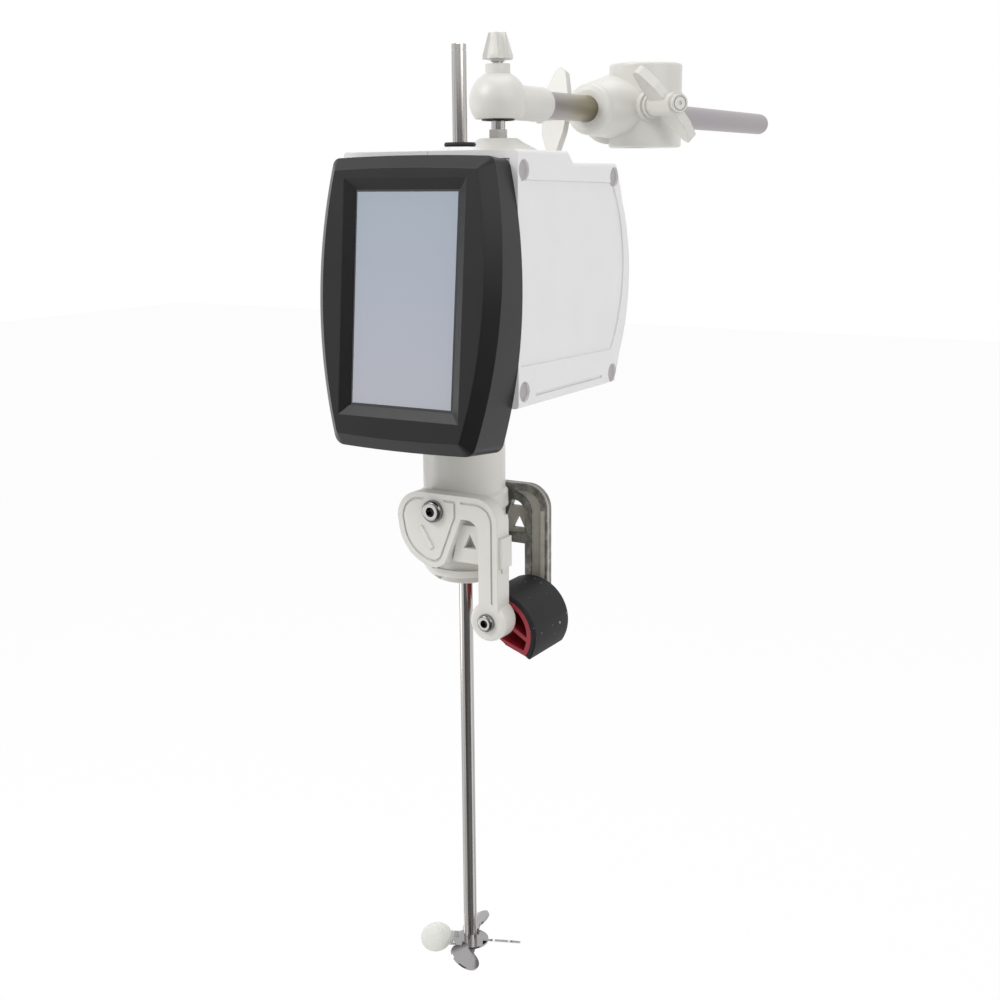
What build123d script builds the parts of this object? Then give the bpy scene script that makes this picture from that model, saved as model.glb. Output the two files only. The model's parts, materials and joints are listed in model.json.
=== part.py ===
"""Touch-screen overhead stirrer with a through-going stirring shaft.

A head with a leaning display hangs from a ball joint on a support rod, and a boss-head holds the
rod on a stand post. The pieces are laid out in millimetres about the stirring axis (x = y = 0, the
display faces -Y, z = 0 at the display's mid height) and are exported about the post bore's centre.
"""
from build123d import *
from math import atan2, cos, degrees, radians, sin, sqrt, tan
import os

# ---------------------------------------------------------------- clearances
RUN = 0.05            # radial running clearance of a shaft in its bore
FREE = 0.3            # clearance between pieces that pass each other
SEAT = 0.15           # clearance of a piece in its pocket

# ---------------------------------------------------------------- display and front bezel
DISPLAY_W = 62.1
DISPLAY_H = 110.4
DISPLAY_Y = -57.6
DISPLAY_LEAN = 5.4    # degrees, the top leans back
GLASS_BORDER = 3.0
GLASS_T = 2.4
BEZEL_TOP = 72.8
BEZEL_BOTTOM = -78.6
BEZEL_HALF_W = 56.6
BEZEL_WIDEST_Z = 8.0
BEZEL_SIDE_R = 280.0
BEZEL_RISE = 1.0      # crown of the bezel's top and bottom edges
BEZEL_PROUD = 3.6     # front face in front of the glass
BEZEL_CHAMFER = 6.8
BEZEL_WALL = 2.6
BEZEL_REAR_Y = -32.5
BEZEL_TOP_R = 4.5
BEZEL_BOTTOM_R = 7.0
SLOPE_MARGIN = 6.6    # width of the slope that runs down to the display
DISPLAY_MARGIN = 1.2

# ---------------------------------------------------------------- housing
HOUSING_HALF_W = 54.0
HOUSING_TOP = 75.5
HOUSING_REAR_TOP = 69.3
HOUSING_STEP_Y = 24.0
HOUSING_STEP_RUN = 7.0
HOUSING_BOTTOM = -57.0
HOUSING_REAR_Y = 84.5
HOUSING_BULGE_Y = 100.5
HOUSING_WALL = 2.6
HOUSING_EDGE_R = 2.4
HOUSING_SEAM = 0.1      # half of the gap between the two covers
FRONT_LIP = 1.5         # strip round the housing's front opening
LIP_DROP = 1.7
SHAFT_BOSS_H = 2.5      # low boss round the shaft on the housing's top
SHAFT_BOSS_TOP_R = 9.8
SHAFT_BOSS_R = 13.5
PANEL_DEPTH = 0.9
PANEL_TOP = 60.5
PANEL_BOTTOM = -35.0
PANEL_MARGIN = 6.0
LEDGE_Z = -51.5
GROOVE = 1.4
REAR_INSET = 4.0        # sides of the rear cover inside the housing's sides
REAR_BULGE_Y = 111.0
REAR_START = 1.6       # behind the housing's rear corners
REAR_TOP_Z = 63.0
REAR_BOTTOM_Z = -53.0
REAR_WALL = 2.6
REAR_CORNER = 4.0     # straight part of the rear cover before its curve
VENT_COUNT = 7
VENT_W = 56.0
VENT_H = 2.2
VENT_PITCH = 6.0
VENT_FIRST_Z = 8.0
COVER_SCREW_FRONT_Y = -26.0
COVER_SCREW_REAR_Y = 80.5
COVER_SCREW_FRONT_Z = (65.3, -48.5)
COVER_SCREW_REAR_Z = (61.8, -51.0)
SCREW_RECESS_R = 5.4
SCREW_RECESS_DEPTH = 5.0
CAP_T = 1.6
COVER_SCREW_R = 1.5
COVER_SCREW_HEAD_R = 3.2
COVER_SCREW_HEAD_T = 1.8
COVER_SCREW_L = 14.0

# ---------------------------------------------------------------- inner frame and drive
COLUMN_W = 12.0
COLUMN_INSET = 11.0     # column's axis inside the housing's side
PLATE_T = 6.0
MID_PLATE_Z = 10.0
GEAR_MODULE = 2.5
GEAR_TEETH = 28
PINION_TEETH = 12
GEAR_T = 10.0
GEAR_GAP = 3.0        # from the middle plate to the gears
TOOTH_PLAY = 0.25
MOTOR_R = 24.0
MOTOR_H = 50.0
MOTOR_SHAFT_R = 4.0
BEARING_R = 16.0
BEARING_T = 9.0
SPINDLE_R = 8.0
SPINDLE_BORE_R = 4.5
SEAL_R = 8.7
SEAL_T = 2.4
BOARD_T = 1.6

# ---------------------------------------------------------------- neck and chuck
NECK_R = 23.4
NECK_BOTTOM = -121.0
BEAD_R = 24.9
BEAD_H = 9.0
CHUCK_HOUSING_BOTTOM = -149.0
COLLAR_R = 24.9
COLLAR_BOTTOM = -164.5
COLLAR_MOUTH_R = 9.5
COLLAR_LIFT = 2.5     # travel of the release collar
COLLAR_RECESS_LEFT = 8.0
COLLAR_RIB = 1.5
CHUCK_STEP = 12.0     # length of the chuck housing inside the collar
COLLAR_WALL = 2.5
CHUCK_BODY_R = 14.0
CHUCK_BODY_TOP = -128.0
CHUCK_BODY_BOTTOM = -149.5
CHUCK_NUT_R = 12.0
CHUCK_NUT_BOTTOM = -158.5
COLLET_R = 7.0

# ---------------------------------------------------------------- stirring shaft and propeller
SHAFT_R = 4.0
SHAFT_TOP = 131.4
SHAFT_BOTTOM = -395.5
SHAFT_GROOVE_BELOW = 3.0
PROP_R = 31.0
PETAL_R = 9.6
PETAL_COUNT = 4
PETAL_PITCH = -32.0   # degrees
PETAL_T = 1.2
PROP_TURN = 22.0      # degrees, first petal from +X
PROP_PLATE_R = 11.0
PROP_HUB_R = 7.0
PROP_HUB_H = 9.0
PROP_NUT_AF = 10.0
PROP_NUT_T = 4.0

# ---------------------------------------------------------------- cam lever and grip
PIVOT_Z = -117.5
ARM_INNER_Y = 23.75
ARM_T = 9.25
REAR_ARM_T = 5.5
AXLE_X = 33.5
AXLE_DROP = 59.5      # axle below the pivot
AXLE_R = 4.0
AXLE_BOSS_R = 11.2
ARM_LEFT_X = 28.4
ARM_RIGHT_X = 40.6
ARM_TOP = 10.0        # top edge above the pivot
ARM_CORNER_R = 14.0
ARM_UNDERSIDE = -3.0  # underside of the bent arm, from the pivot
GROOVE_INSET = 3.2
GROOVE_W = 1.2
GROOVE_DEPTH = 0.8
WEB_T = 2.5
WEB_DROP = 28.5       # lower edge of the web below the pivot
WEB_BAR_H = 6.0
CHANNEL_RIM = 4.2     # rim left round the channel on an arm's inner side
CHANNEL_DEPTH = 2.0
CAM_R = 23.3          # size of the cam plate
CAM_RIB_W = 3.0
CAM_RIB_H = 0.8
PIVOT_HUB_R = 9.0
LEVER_GAP_Y = 20.5    # inner faces of the axle bosses, against the grip's hub
REAR_ARM_LEFT_X = 26.0
REAR_ARM_TOP = 7.0
ARM_BEND_R = 7.0
AXLE_SEAT = 4.0       # axle's end below the arm's outer face
AXLE_BOSS_EDGE = 2.5
PIVOT_BOLT_R = 3.0
PIVOT_HEAD_R = 6.3
PIVOT_HEAD_T = 3.6
PIVOT_PLAY = 0.2      # end play of an arm under its pivot bolt
BUSH_WALL = 1.2
AXLE_BOLT_R = 2.5
AXLE_HEAD_R = 5.0
AXLE_HEAD_T = 3.2
GRIP_HALF_L = 20.0
GRIP_X = 33.5
GRIP_SAG = 9.2        # centre of the grip's round back, below the axle
GRIP_R = 23.4
GRIP_COVER_T = 3.0
GRIP_WALL = 2.6
GRIP_UNDERSIDE = 6.0  # underside below the round back's centre
GRIP_TOE = 11.0
GRIP_WEB_HALF = 4.0
GRIP_START = -34.0    # degrees, ends of the grip's cover
GRIP_END = 146.0
GRIP_HUB_R = 6.5
GRIP_RIB_T = 2.2
FLAT_GAP = 0.3        # arm's inner face to the flat on the neck
STOP_H = 17.0
STOP_TOP = -11.5      # below the pivot
STOP_T = 1.8

# ---------------------------------------------------------------- ball joint and support rod
BALL_Y = 41.3
BALL_Z = 103.9
BALL_R = 10.5
SOCKET_R = 16.3
SOCKET_FLAT = 9.9     # flat underside below the ball's centre
SOCKET_NECK_R = 7.0
SOCKET_NECK_TOP = 123.7
SOCKET_TUBE_R = 10.0
SOCKET_TUBE_END = 92.0
STUD_R = 4.0
STUD_THREAD_R = 3.0
STUD_NUT_AF = 10.0
STUD_NUT_TOP = 88.2
BASE_TOP = 83.3
BASE_TOP_R = 11.0
BASE_BOTTOM_R = 27.0
SEAT_MOUTH_R = 6.6
KNOB_R = 8.8
KNOB_TOP_R = 5.2
KNOB_BOTTOM = 126.2
KNOB_TOP = 140.4
KNOB_LOBES = 5
KNOB_GROOVE_R = 2.9
KNOB_COLLAR_R = 3.9
KNOB_SCREW_R = 3.0
ROD_R = 8.0
ROD_START = 60.0
ROD_END = 474.0

# ---------------------------------------------------------------- boss-head
POST_BORE_R = 8.3
POST_X = 19.8
POST_Y = 185.5
BARREL_X = 20.6
BARREL_Y = 196.0
BARREL_R = 23.4
BARREL_BOTTOM = 80.5
BARREL_TOP = 132.6
ROD_BOSS_FRONT_Y = 152.5
ROD_BOSS_FRONT_R = 16.0
ROD_BOSS_REAR_Y = 212.0
ROD_BOSS_REAR_R = 21.0
ROD_BOSS_NOSE = 5.0
ROD_BOSS_END_Y = 185.0 # where the rod boss has widened to the barrel
ROD_BOSS_END_X = 39.0  # its right side there
ROD_SCREW_Y = 184.0
POST_SCREW_AZ = -35.0  # degrees from +X towards -Y
POST_SCREW_Z = 105.5
POST_SEAT = 19.0       # seat of the post screw's handle from the post's axis
ROD_SEAT = 22.5        # seat of the rod screw's handle from the rod's axis
CLAMP_SCREW_R = 3.0
SCREW_GAP = 0.3        # handle's collar above its seat
WING_R = 29.0
WING_HUB_R = 5.5
WING_HUB_L = 32.0
WING_T = 6.2
WING_COLLAR_R = 8.0
WING_SEAT_R = 9.4
WING_COLLAR_T = 3.0
POST_WING_TURN = 44.0  # degrees of the wings about the screw, from +Z
ROD_WING_TURN = 13.8

# ---------------------------------------------------------------- rear power panel
POWER_Z = -22.0
POWER_Y = 101.5
POWER_HALF_W = 33.0
POWER_HALF_H = 13.5
INLET_X = -14.0
INLET_W = 28.0
INLET_H = 20.0
INLET_DEPTH = 14.0
SWITCH_X = 18.0
SWITCH_W = 15.0
SWITCH_H = 21.0
SWITCH_WALL = 1.5
ROCKER_PIN_R = 1.2
ROCKER_T = 4.0
ROCKER_TILT = 7.0     # degrees, off position


# ================================================================ helpers
def rod_solid(radius, start, end):
    """Round bar between two points."""
    axis = Vector(*end) - Vector(*start)
    plane = Plane(origin=start, z_dir=axis)
    return extrude(plane * Circle(radius), axis.length)


def z_bar(radius, bottom, top, x=0.0, y=0.0):
    return Pos(x, y, bottom) * extrude(Circle(radius), top - bottom)


def block(x0, x1, y0, y1, z0, z1):
    return Pos((x0 + x1) / 2, (y0 + y1) / 2, (z0 + z1) / 2) * Box(x1 - x0, y1 - y0, z1 - z0)


def turned(points):
    """Solid of revolution about Z from (radius, z) points."""
    face = make_face(Plane.XZ * Polyline(*points, close=True))
    return revolve(face, Axis.Z)


def mirrored_x(shape):
    return mirror(shape, Plane.YZ)


def mirrored_y(shape):
    return mirror(shape, Plane.XZ)


def hex_socket_bolt(head_r, head_t, bolt_r, length, socket_af):
    """Button-head bolt along +Z with its seat at z = 0 and its shank below."""
    head = extrude(Circle(head_r), head_t)
    head = fillet(head.edges().group_by(Axis.Z)[-1], head_t * 0.6)
    socket_r = socket_af / 2 / cos(radians(30))
    socket = Pos(0, 0, head_t * 0.35) * extrude(RegularPolygon(socket_r, 6), head_t)
    shank = Pos(0, 0, -length) * extrude(Circle(bolt_r), length)
    return head - socket + shank


# ================================================================ front bezel and display
REAR_HALF_W = HOUSING_HALF_W - REAR_INSET
LEAN = radians(DISPLAY_LEAN)
DISPLAY_PLANE = Plane(origin=(0, DISPLAY_Y, 0), x_dir=(1, 0, 0), z_dir=(0, -cos(LEAN), sin(LEAN)))


def bezel_half_width(z, inset=0.0):
    return BEZEL_HALF_W - inset - (z - BEZEL_WIDEST_Z) ** 2 / (2 * BEZEL_SIDE_R)


def bezel_outline(inset, top_r, bottom_r):
    """Barrel-sided outline of the bezel, drawn in from its largest size by the inset."""
    top = BEZEL_TOP - inset
    bottom = BEZEL_BOTTOM + inset
    top_x = bezel_half_width(top, inset)
    bottom_x = bezel_half_width(bottom, inset)
    wide_x = bezel_half_width(BEZEL_WIDEST_Z, inset)
    outline = Curve() + [
        ThreePointArc((-top_x, top), (0, top + BEZEL_RISE), (top_x, top)),
        ThreePointArc((top_x, top), (wide_x, BEZEL_WIDEST_Z), (bottom_x, bottom)),
        ThreePointArc((bottom_x, bottom), (0, bottom - BEZEL_RISE), (-bottom_x, bottom)),
        ThreePointArc((-bottom_x, bottom), (-wide_x, BEZEL_WIDEST_Z), (-top_x, top)),
    ]
    face = make_face(outline)
    face = fillet(face.vertices().group_by(Axis.Y)[-1], top_r)
    return fillet(face.vertices().group_by(Axis.Y)[0], bottom_r)


def at_display(shape, height):
    return DISPLAY_PLANE * Pos(0, 0, height) * shape


def make_front_bezel():
    edge_height = BEZEL_PROUD - BEZEL_CHAMFER
    outer = bezel_outline(0, BEZEL_TOP_R, BEZEL_BOTTOM_R)
    front = bezel_outline(BEZEL_CHAMFER, 0.6, 1.2)
    rim = loft([at_display(outer, edge_height), at_display(front, BEZEL_PROUD)])
    depth = BEZEL_REAR_Y - DISPLAY_Y + 20
    body = rim + extrude(at_display(outer, edge_height), -depth)
    behind = block(-90, 90, BEZEL_REAR_Y, BEZEL_REAR_Y + 90, -120, 120)
    inner = bezel_outline(BEZEL_WALL, 1.0, BEZEL_BOTTOM_R - BEZEL_WALL)
    hollow = extrude(at_display(inner, edge_height), -depth)
    slope_w = DISPLAY_W + 2 * SLOPE_MARGIN
    slope_h = DISPLAY_H + 2 * SLOPE_MARGIN
    window_w = DISPLAY_W + 2 * DISPLAY_MARGIN
    window_h = DISPLAY_H + 2 * DISPLAY_MARGIN
    slope = loft([at_display(Rectangle(window_w, window_h), 0.3), at_display(Rectangle(slope_w, slope_h), BEZEL_PROUD)])
    window = extrude(at_display(Rectangle(window_w, window_h), -BEZEL_CHAMFER), 2 * BEZEL_CHAMFER)
    pocket_w = DISPLAY_W + 2 * (GLASS_BORDER + SEAT)
    pocket_h = DISPLAY_H + 2 * (GLASS_BORDER + SEAT)
    pocket = extrude(at_display(Rectangle(pocket_w, pocket_h), 0), -2 * BEZEL_CHAMFER)
    bezel = body - behind - hollow - slope - window - pocket
    for x, y in board_posts():
        bezel += extrude(at_display(Pos(x, y) * Circle(3.0), edge_height), -BOARD_SETBACK)
    return bezel


BOARD_SETBACK = 5.0


def board_posts():
    return [(x, y) for x in (-38, 38) for y in (-60, 58)]


def make_touch_screen():
    glass = Rectangle(DISPLAY_W + 2 * GLASS_BORDER, DISPLAY_H + 2 * GLASS_BORDER)
    return extrude(at_display(glass, 0), -GLASS_T)


def make_control_board():
    height = BEZEL_PROUD - BEZEL_CHAMFER - BOARD_SETBACK
    board = extrude(at_display(Rectangle(84, 126), height), -BOARD_T)
    chip = extrude(at_display(Rectangle(22, 22), height - BOARD_T), -3)
    link = extrude(at_display(Pos(0, -20) * Rectangle(30, 12), height), -GLASS_T - height)
    return board + chip + link


# ================================================================ housing
COVER_POST_START = HOUSING_HALF_W - COLUMN_INSET + COLUMN_W / 2


def side_outline(inset=0.0):
    """Side view of the housing in the Y-Z plane: stepped top, bulging rear, flat underside."""
    front = BEZEL_REAR_Y
    top = HOUSING_TOP - inset
    low_top = HOUSING_REAR_TOP - inset
    bottom = HOUSING_BOTTOM + inset
    rear = HOUSING_REAR_Y - inset
    step_end = HOUSING_STEP_Y + HOUSING_STEP_RUN
    mid_z = (low_top + bottom) / 2
    lines = Curve() + [
        Line((front, bottom), (front, top)),
        Line((front, top), (HOUSING_STEP_Y, top)),
        Line((HOUSING_STEP_Y, top), (step_end, low_top)),
        Line((step_end, low_top), (rear, low_top)),
        ThreePointArc((rear, low_top), (HOUSING_BULGE_Y - inset, mid_z), (rear, bottom)),
        Line((rear, bottom), (front, bottom)),
    ]
    return make_face(lines)


def along_x(face, x0, x1):
    """Extrude a Y-Z drawing from x0 to x1."""
    return extrude(Plane(origin=(x0, 0, 0), x_dir=(0, 1, 0), z_dir=(1, 0, 0)) * face, x1 - x0)


def cover_screw_places():
    front = [(COVER_SCREW_FRONT_Y, z) for z in COVER_SCREW_FRONT_Z]
    rear = [(COVER_SCREW_REAR_Y, z) for z in COVER_SCREW_REAR_Z]
    return front + rear


def rear_cover_outline(inset=0.0):
    """Side view of the rear cover, from inside the housing's rear edge to its bulge."""
    top = REAR_TOP_Z - inset
    bottom = REAR_BOTTOM_Z + inset
    start = HOUSING_REAR_Y + REAR_START
    corner = start + REAR_CORNER - inset
    lines = Curve() + [
        Line((start, bottom), (start, top)),
        Line((start, top), (corner, top)),
        ThreePointArc((corner, top), (REAR_BULGE_Y - inset, (top + bottom) / 2), (corner, bottom)),
        Line((corner, bottom), (start, bottom)),
    ]
    return make_face(lines)


def make_right_cover():
    """Half of the clamshell housing, from the middle plane to the right side face."""
    wall = HOUSING_WALL
    shell = along_x(side_outline(), HOUSING_SEAM, HOUSING_HALF_W)
    outer_edges = shell.edges().filter_by_position(Axis.X, HOUSING_HALF_W - 0.01, HOUSING_HALF_W + 0.01)
    long_edges = [e for e in outer_edges if e.center().Y > BEZEL_REAR_Y + 1]
    shell = fillet(long_edges, HOUSING_EDGE_R)
    hollow = along_x(side_outline(wall), -1, HOUSING_HALF_W - wall)
    hollow += block(-1, HOUSING_HALF_W - wall, BEZEL_REAR_Y - 1, 0, HOUSING_BOTTOM + wall, HOUSING_TOP - wall)
    cover = shell - hollow + shaft_boss()
    lip_x = COVER_POST_START + FREE
    lip_z = HOUSING_TOP - wall - LIP_DROP
    lip_y = BEZEL_REAR_Y + FRONT_LIP
    cover += block(HOUSING_SEAM, HOUSING_HALF_W - 1, BEZEL_REAR_Y, lip_y, lip_z, HOUSING_TOP - 1)
    cover += block(lip_x, HOUSING_HALF_W - 1, BEZEL_REAR_Y, lip_y, HOUSING_BOTTOM + 1, HOUSING_TOP - 1)
    for y, z in cover_screw_places():
        cover += rod_solid(SCREW_RECESS_R + 1.6, (COVER_POST_START, y, z), (HOUSING_HALF_W - 1, y, z)) & shell
    cover -= block(-1, REAR_HALF_W + SEAT, HOUSING_REAR_Y - HOUSING_WALL, HOUSING_BULGE_Y + 1,
                   REAR_BOTTOM_Z - SEAT, REAR_TOP_Z + SEAT)
    cover -= side_panel_recess()
    for y, z in cover_screw_places():
        recess_floor = HOUSING_HALF_W - SCREW_RECESS_DEPTH
        cover -= rod_solid(SCREW_RECESS_R, (recess_floor, y, z), (HOUSING_HALF_W + 1, y, z))
        cover -= rod_solid(COVER_SCREW_R + SEAT, (0, y, z), (HOUSING_HALF_W, y, z))
    cover -= z_bar(SPINDLE_R + 0.6, HOUSING_TOP - 10, HOUSING_TOP + SHAFT_BOSS_H + 1)
    cover -= z_bar(BASE_TOP_R, HOUSING_REAR_TOP - 12, HOUSING_TOP + 1, 0, BALL_Y)
    cover -= z_bar(NECK_R + SEAT, HOUSING_BOTTOM - 1, HOUSING_BOTTOM + 10)
    return cover


def shaft_boss():
    """Right half of the low boss on the housing's top that carries the shaft's seal."""
    top = HOUSING_TOP + SHAFT_BOSS_H
    low = HOUSING_TOP - HOUSING_WALL
    boss = turned([(0, low), (SHAFT_BOSS_R, low), (SHAFT_BOSS_R, HOUSING_TOP), (SHAFT_BOSS_TOP_R, top), (0, top)])
    return boss & block(HOUSING_SEAM, SHAFT_BOSS_R + 1, -SHAFT_BOSS_R - 1, SHAFT_BOSS_R + 1, low, top)


def side_panel_recess():
    """Shallow field on the side face with a curved rear edge, and the ledge groove below it."""
    rear = HOUSING_REAR_Y - PANEL_MARGIN
    mid_z = (PANEL_TOP + PANEL_BOTTOM) / 2
    front = BEZEL_REAR_Y + PANEL_MARGIN / 2
    floor_x = HOUSING_HALF_W - PANEL_DEPTH
    field = make_face(Curve() + [
        Line((front, PANEL_BOTTOM), (front, PANEL_TOP)),
        Line((front, PANEL_TOP), (rear, PANEL_TOP - 2)),
        ThreePointArc((rear, PANEL_TOP - 2), (HOUSING_BULGE_Y - PANEL_MARGIN, mid_z), (rear, PANEL_BOTTOM - 2)),
        Line((rear, PANEL_BOTTOM - 2), (front, PANEL_BOTTOM)),
    ])
    recess = along_x(field, floor_x, HOUSING_HALF_W + 1)
    ledge = block(floor_x, HOUSING_HALF_W + 1, COVER_SCREW_FRONT_Y + 12, COVER_SCREW_REAR_Y - 14,
                  LEDGE_Z - GROOVE / 2, LEDGE_Z + GROOVE / 2)
    return recess + ledge


def make_rear_cover():
    wall = REAR_WALL
    body = along_x(rear_cover_outline(), -REAR_HALF_W, REAR_HALF_W)
    hollow = along_x(rear_cover_outline(wall), -REAR_HALF_W + wall, REAR_HALF_W - wall)
    cover = body - hollow
    panel = block(-POWER_HALF_W - wall, POWER_HALF_W + wall, POWER_Y - wall, REAR_BULGE_Y,
                  POWER_Z - POWER_HALF_H - wall, POWER_Z + POWER_HALF_H + wall) & body
    recess = block(-POWER_HALF_W, POWER_HALF_W, POWER_Y, REAR_BULGE_Y + 1,
                   POWER_Z - POWER_HALF_H, POWER_Z + POWER_HALF_H)
    cover = cover + panel - recess
    cover -= block(*inlet_span(SEAT), POWER_Y - 10, POWER_Y + 1, *power_height(INLET_H, SEAT))
    cover -= block(*switch_span(SEAT), POWER_Y - 10, POWER_Y + 1, *power_height(SWITCH_H, SEAT))
    for i in range(VENT_COUNT):
        z = VENT_FIRST_Z + i * VENT_PITCH
        cover -= block(-VENT_W / 2, VENT_W / 2, HOUSING_REAR_Y, REAR_BULGE_Y + 1, z, z + VENT_H)
    return cover


def inlet_span(extra=0.0):
    return INLET_X - INLET_W / 2 - extra, INLET_X + INLET_W / 2 + extra


def switch_span(extra=0.0):
    return SWITCH_X - SWITCH_W / 2 - extra, SWITCH_X + SWITCH_W / 2 + extra


def power_height(height, extra=0.0):
    return POWER_Z - height / 2 - extra, POWER_Z + height / 2 + extra


def make_power_inlet():
    """Appliance inlet: flanged body with an open socket and three contact pins."""
    body = block(*inlet_span(), POWER_Y - REAR_WALL - INLET_DEPTH, POWER_Y, *power_height(INLET_H))
    flange = block(INLET_X - INLET_W / 2 - 2, INLET_X + INLET_W / 2 + 2, POWER_Y, POWER_Y + 1.6,
                   *power_height(INLET_H + 4))
    socket = block(INLET_X - INLET_W / 2 + 2, INLET_X + INLET_W / 2 - 2, POWER_Y - INLET_DEPTH, POWER_Y + 2,
                   *power_height(INLET_H - 4))
    inlet = body + flange - socket
    for dx, dz in ((-7, -4), (0, 4), (7, -4)):
        inlet += block(INLET_X + dx - 1, INLET_X + dx + 1, POWER_Y - INLET_DEPTH - 1, POWER_Y - 2,
                       POWER_Z + dz - 2, POWER_Z + dz + 2)
    return inlet


def make_switch_frame():
    body = block(*switch_span(), POWER_Y - REAR_WALL - 10, POWER_Y, *power_height(SWITCH_H))
    flange = block(*switch_span(SWITCH_WALL), POWER_Y, POWER_Y + SWITCH_WALL, *power_height(SWITCH_H, SWITCH_WALL))
    mouth = block(*switch_span(-SWITCH_WALL), POWER_Y - 7, POWER_Y + 2, *power_height(SWITCH_H, -SWITCH_WALL))
    return body + flange - mouth - rocker_pin(RUN)


def rocker_pin(extra=0.0):
    """Pin on which the rocker tilts, seated in the sides of the switch frame."""
    half = SWITCH_W / 2 - SWITCH_WALL / 3 + extra
    return rod_solid(ROCKER_PIN_R + extra, (SWITCH_X - half, POWER_Y, POWER_Z), (SWITCH_X + half, POWER_Y, POWER_Z))


def make_switch_rocker():
    """Rocker with two slightly sloping faces about its pin."""
    half_w = SWITCH_W / 2 - SWITCH_WALL - FREE
    half_h = SWITCH_H / 2 - SWITCH_WALL - 2 * FREE
    top = POWER_Y + ROCKER_T / 2
    root = POWER_Y - 3
    profile = [(root, POWER_Z - half_h + 1), (top, POWER_Z - half_h), (top - 1.2, POWER_Z),
               (top, POWER_Z + half_h), (root, POWER_Z + half_h - 1)]
    rocker = along_x(make_face(Polyline(*profile, close=True)), SWITCH_X - half_w, SWITCH_X + half_w)
    rocker = rocker.rotate(Axis((0, POWER_Y, POWER_Z), (1, 0, 0)), -ROCKER_TILT)
    return rocker + rocker_pin()


def make_cover_screws():
    """Four screws of the right cover; their heads seat in the recesses."""
    seat_x = HOUSING_HALF_W - SCREW_RECESS_DEPTH
    screws = []
    for y, z in cover_screw_places():
        head = rod_solid(COVER_SCREW_HEAD_R, (seat_x, y, z), (seat_x + COVER_SCREW_HEAD_T, y, z))
        shank = rod_solid(COVER_SCREW_R, (seat_x - COVER_SCREW_L, y, z), (seat_x, y, z))
        screws.append(head + shank)
    return screws


def make_screw_caps():
    """Four round caps that close the recesses over the screws of the right cover."""
    inner_x = HOUSING_HALF_W - SCREW_RECESS_DEPTH + COVER_SCREW_HEAD_T
    return [rod_solid(SCREW_RECESS_R, (inner_x, y, z), (inner_x + CAP_T, y, z)) for y, z in cover_screw_places()]


# ================================================================ inner frame and drive
COLUMN_X = HOUSING_HALF_W - COLUMN_INSET
GEAR_Z = MID_PLATE_Z + PLATE_T + GEAR_GAP
GEAR_PITCH_R = GEAR_MODULE * GEAR_TEETH / 2
PINION_PITCH_R = GEAR_MODULE * PINION_TEETH / 2
MOTOR_Y = GEAR_PITCH_R + PINION_PITCH_R
FLOOR_Z = HOUSING_BOTTOM + HOUSING_WALL
TOP_PLATE_Z = 57.0


def make_core_frame():
    """Cast frame: floor, middle and top plates between four corner columns."""
    front = COVER_SCREW_FRONT_Y - COLUMN_W / 2
    rear = COVER_SCREW_REAR_Y - COLUMN_W / 2
    half_w = COLUMN_X - 2
    frame = block(-half_w, half_w, front, rear + 7, FLOOR_Z, FLOOR_Z + PLATE_T)
    frame += block(-half_w, half_w, front, rear - 6, MID_PLATE_Z, MID_PLATE_Z + PLATE_T)
    frame += block(-half_w, half_w, front, rear - 6, TOP_PLATE_Z, TOP_PLATE_Z + PLATE_T)
    for side in (-1, 1):
        x0 = side * COLUMN_X - COLUMN_W / 2
        x1 = side * COLUMN_X + COLUMN_W / 2
        frame += block(x0, x1, front, front + COLUMN_W, FLOOR_Z, HOUSING_TOP - HOUSING_WALL - 2)
        frame += block(x0, x1, rear - 6, rear + 7, FLOOR_Z, HOUSING_REAR_TOP - HOUSING_WALL - 0.5)
        for y, z in cover_screw_places():
            frame -= rod_solid(COVER_SCREW_R + RUN, (side * (COLUMN_X - 9), y, z), (side * HOUSING_HALF_W, y, z))
    frame -= z_bar(BEARING_R, TOP_PLATE_Z - 1, TOP_PLATE_Z + PLATE_T + 1)
    frame -= z_bar(SPINDLE_R + 2, MID_PLATE_Z - 1, MID_PLATE_Z + PLATE_T + 1)
    frame -= z_bar(NECK_R, FLOOR_Z - 1, FLOOR_Z + PLATE_T + 1)
    frame -= z_bar(MOTOR_SHAFT_R + 2, MID_PLATE_Z - 1, MID_PLATE_Z + PLATE_T + 1, 0, MOTOR_Y)
    frame += z_bar(9, TOP_PLATE_Z + PLATE_T - 1, HOUSING_REAR_TOP - HOUSING_WALL - FREE, 0, BALL_Y)
    frame -= z_bar(STUD_THREAD_R, TOP_PLATE_Z - 1, HOUSING_TOP, 0, BALL_Y)
    return frame


def gear(teeth, tooth_turn, thickness):
    """Spur gear with straight-flanked teeth; tooth_turn is the angle of its first tooth."""
    pitch_r = GEAR_MODULE * teeth / 2
    root_r = pitch_r - 1.2 * GEAR_MODULE
    tip_r = pitch_r + 0.9 * GEAR_MODULE
    half_pitch = GEAR_MODULE * 3.1416 / 4
    root_half = half_pitch * 1.45
    tip_half = half_pitch * 0.5
    tooth = make_face(Polyline((root_r - 1, -root_half), (tip_r, -tip_half), (tip_r, tip_half),
                               (root_r - 1, root_half), close=True))
    blank = Sketch() + Circle(root_r)
    for i in range(teeth):
        blank += Rot(0, 0, tooth_turn + 360 * i / teeth) * tooth
    return extrude(blank, thickness)


def make_spindle_gear():
    """Large gear on the hollow spindle, with a tooth gap facing the pinion at +Y."""
    wheel = gear(GEAR_TEETH, 90 + 180 / GEAR_TEETH, GEAR_T)
    wheel += Pos(0, 0, GEAR_T) * extrude(Circle(13), 6)
    wheel -= Pos(0, 0, -1) * extrude(Circle(SPINDLE_R), GEAR_T + 8)
    return Pos(0, 0, GEAR_Z) * wheel


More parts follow.
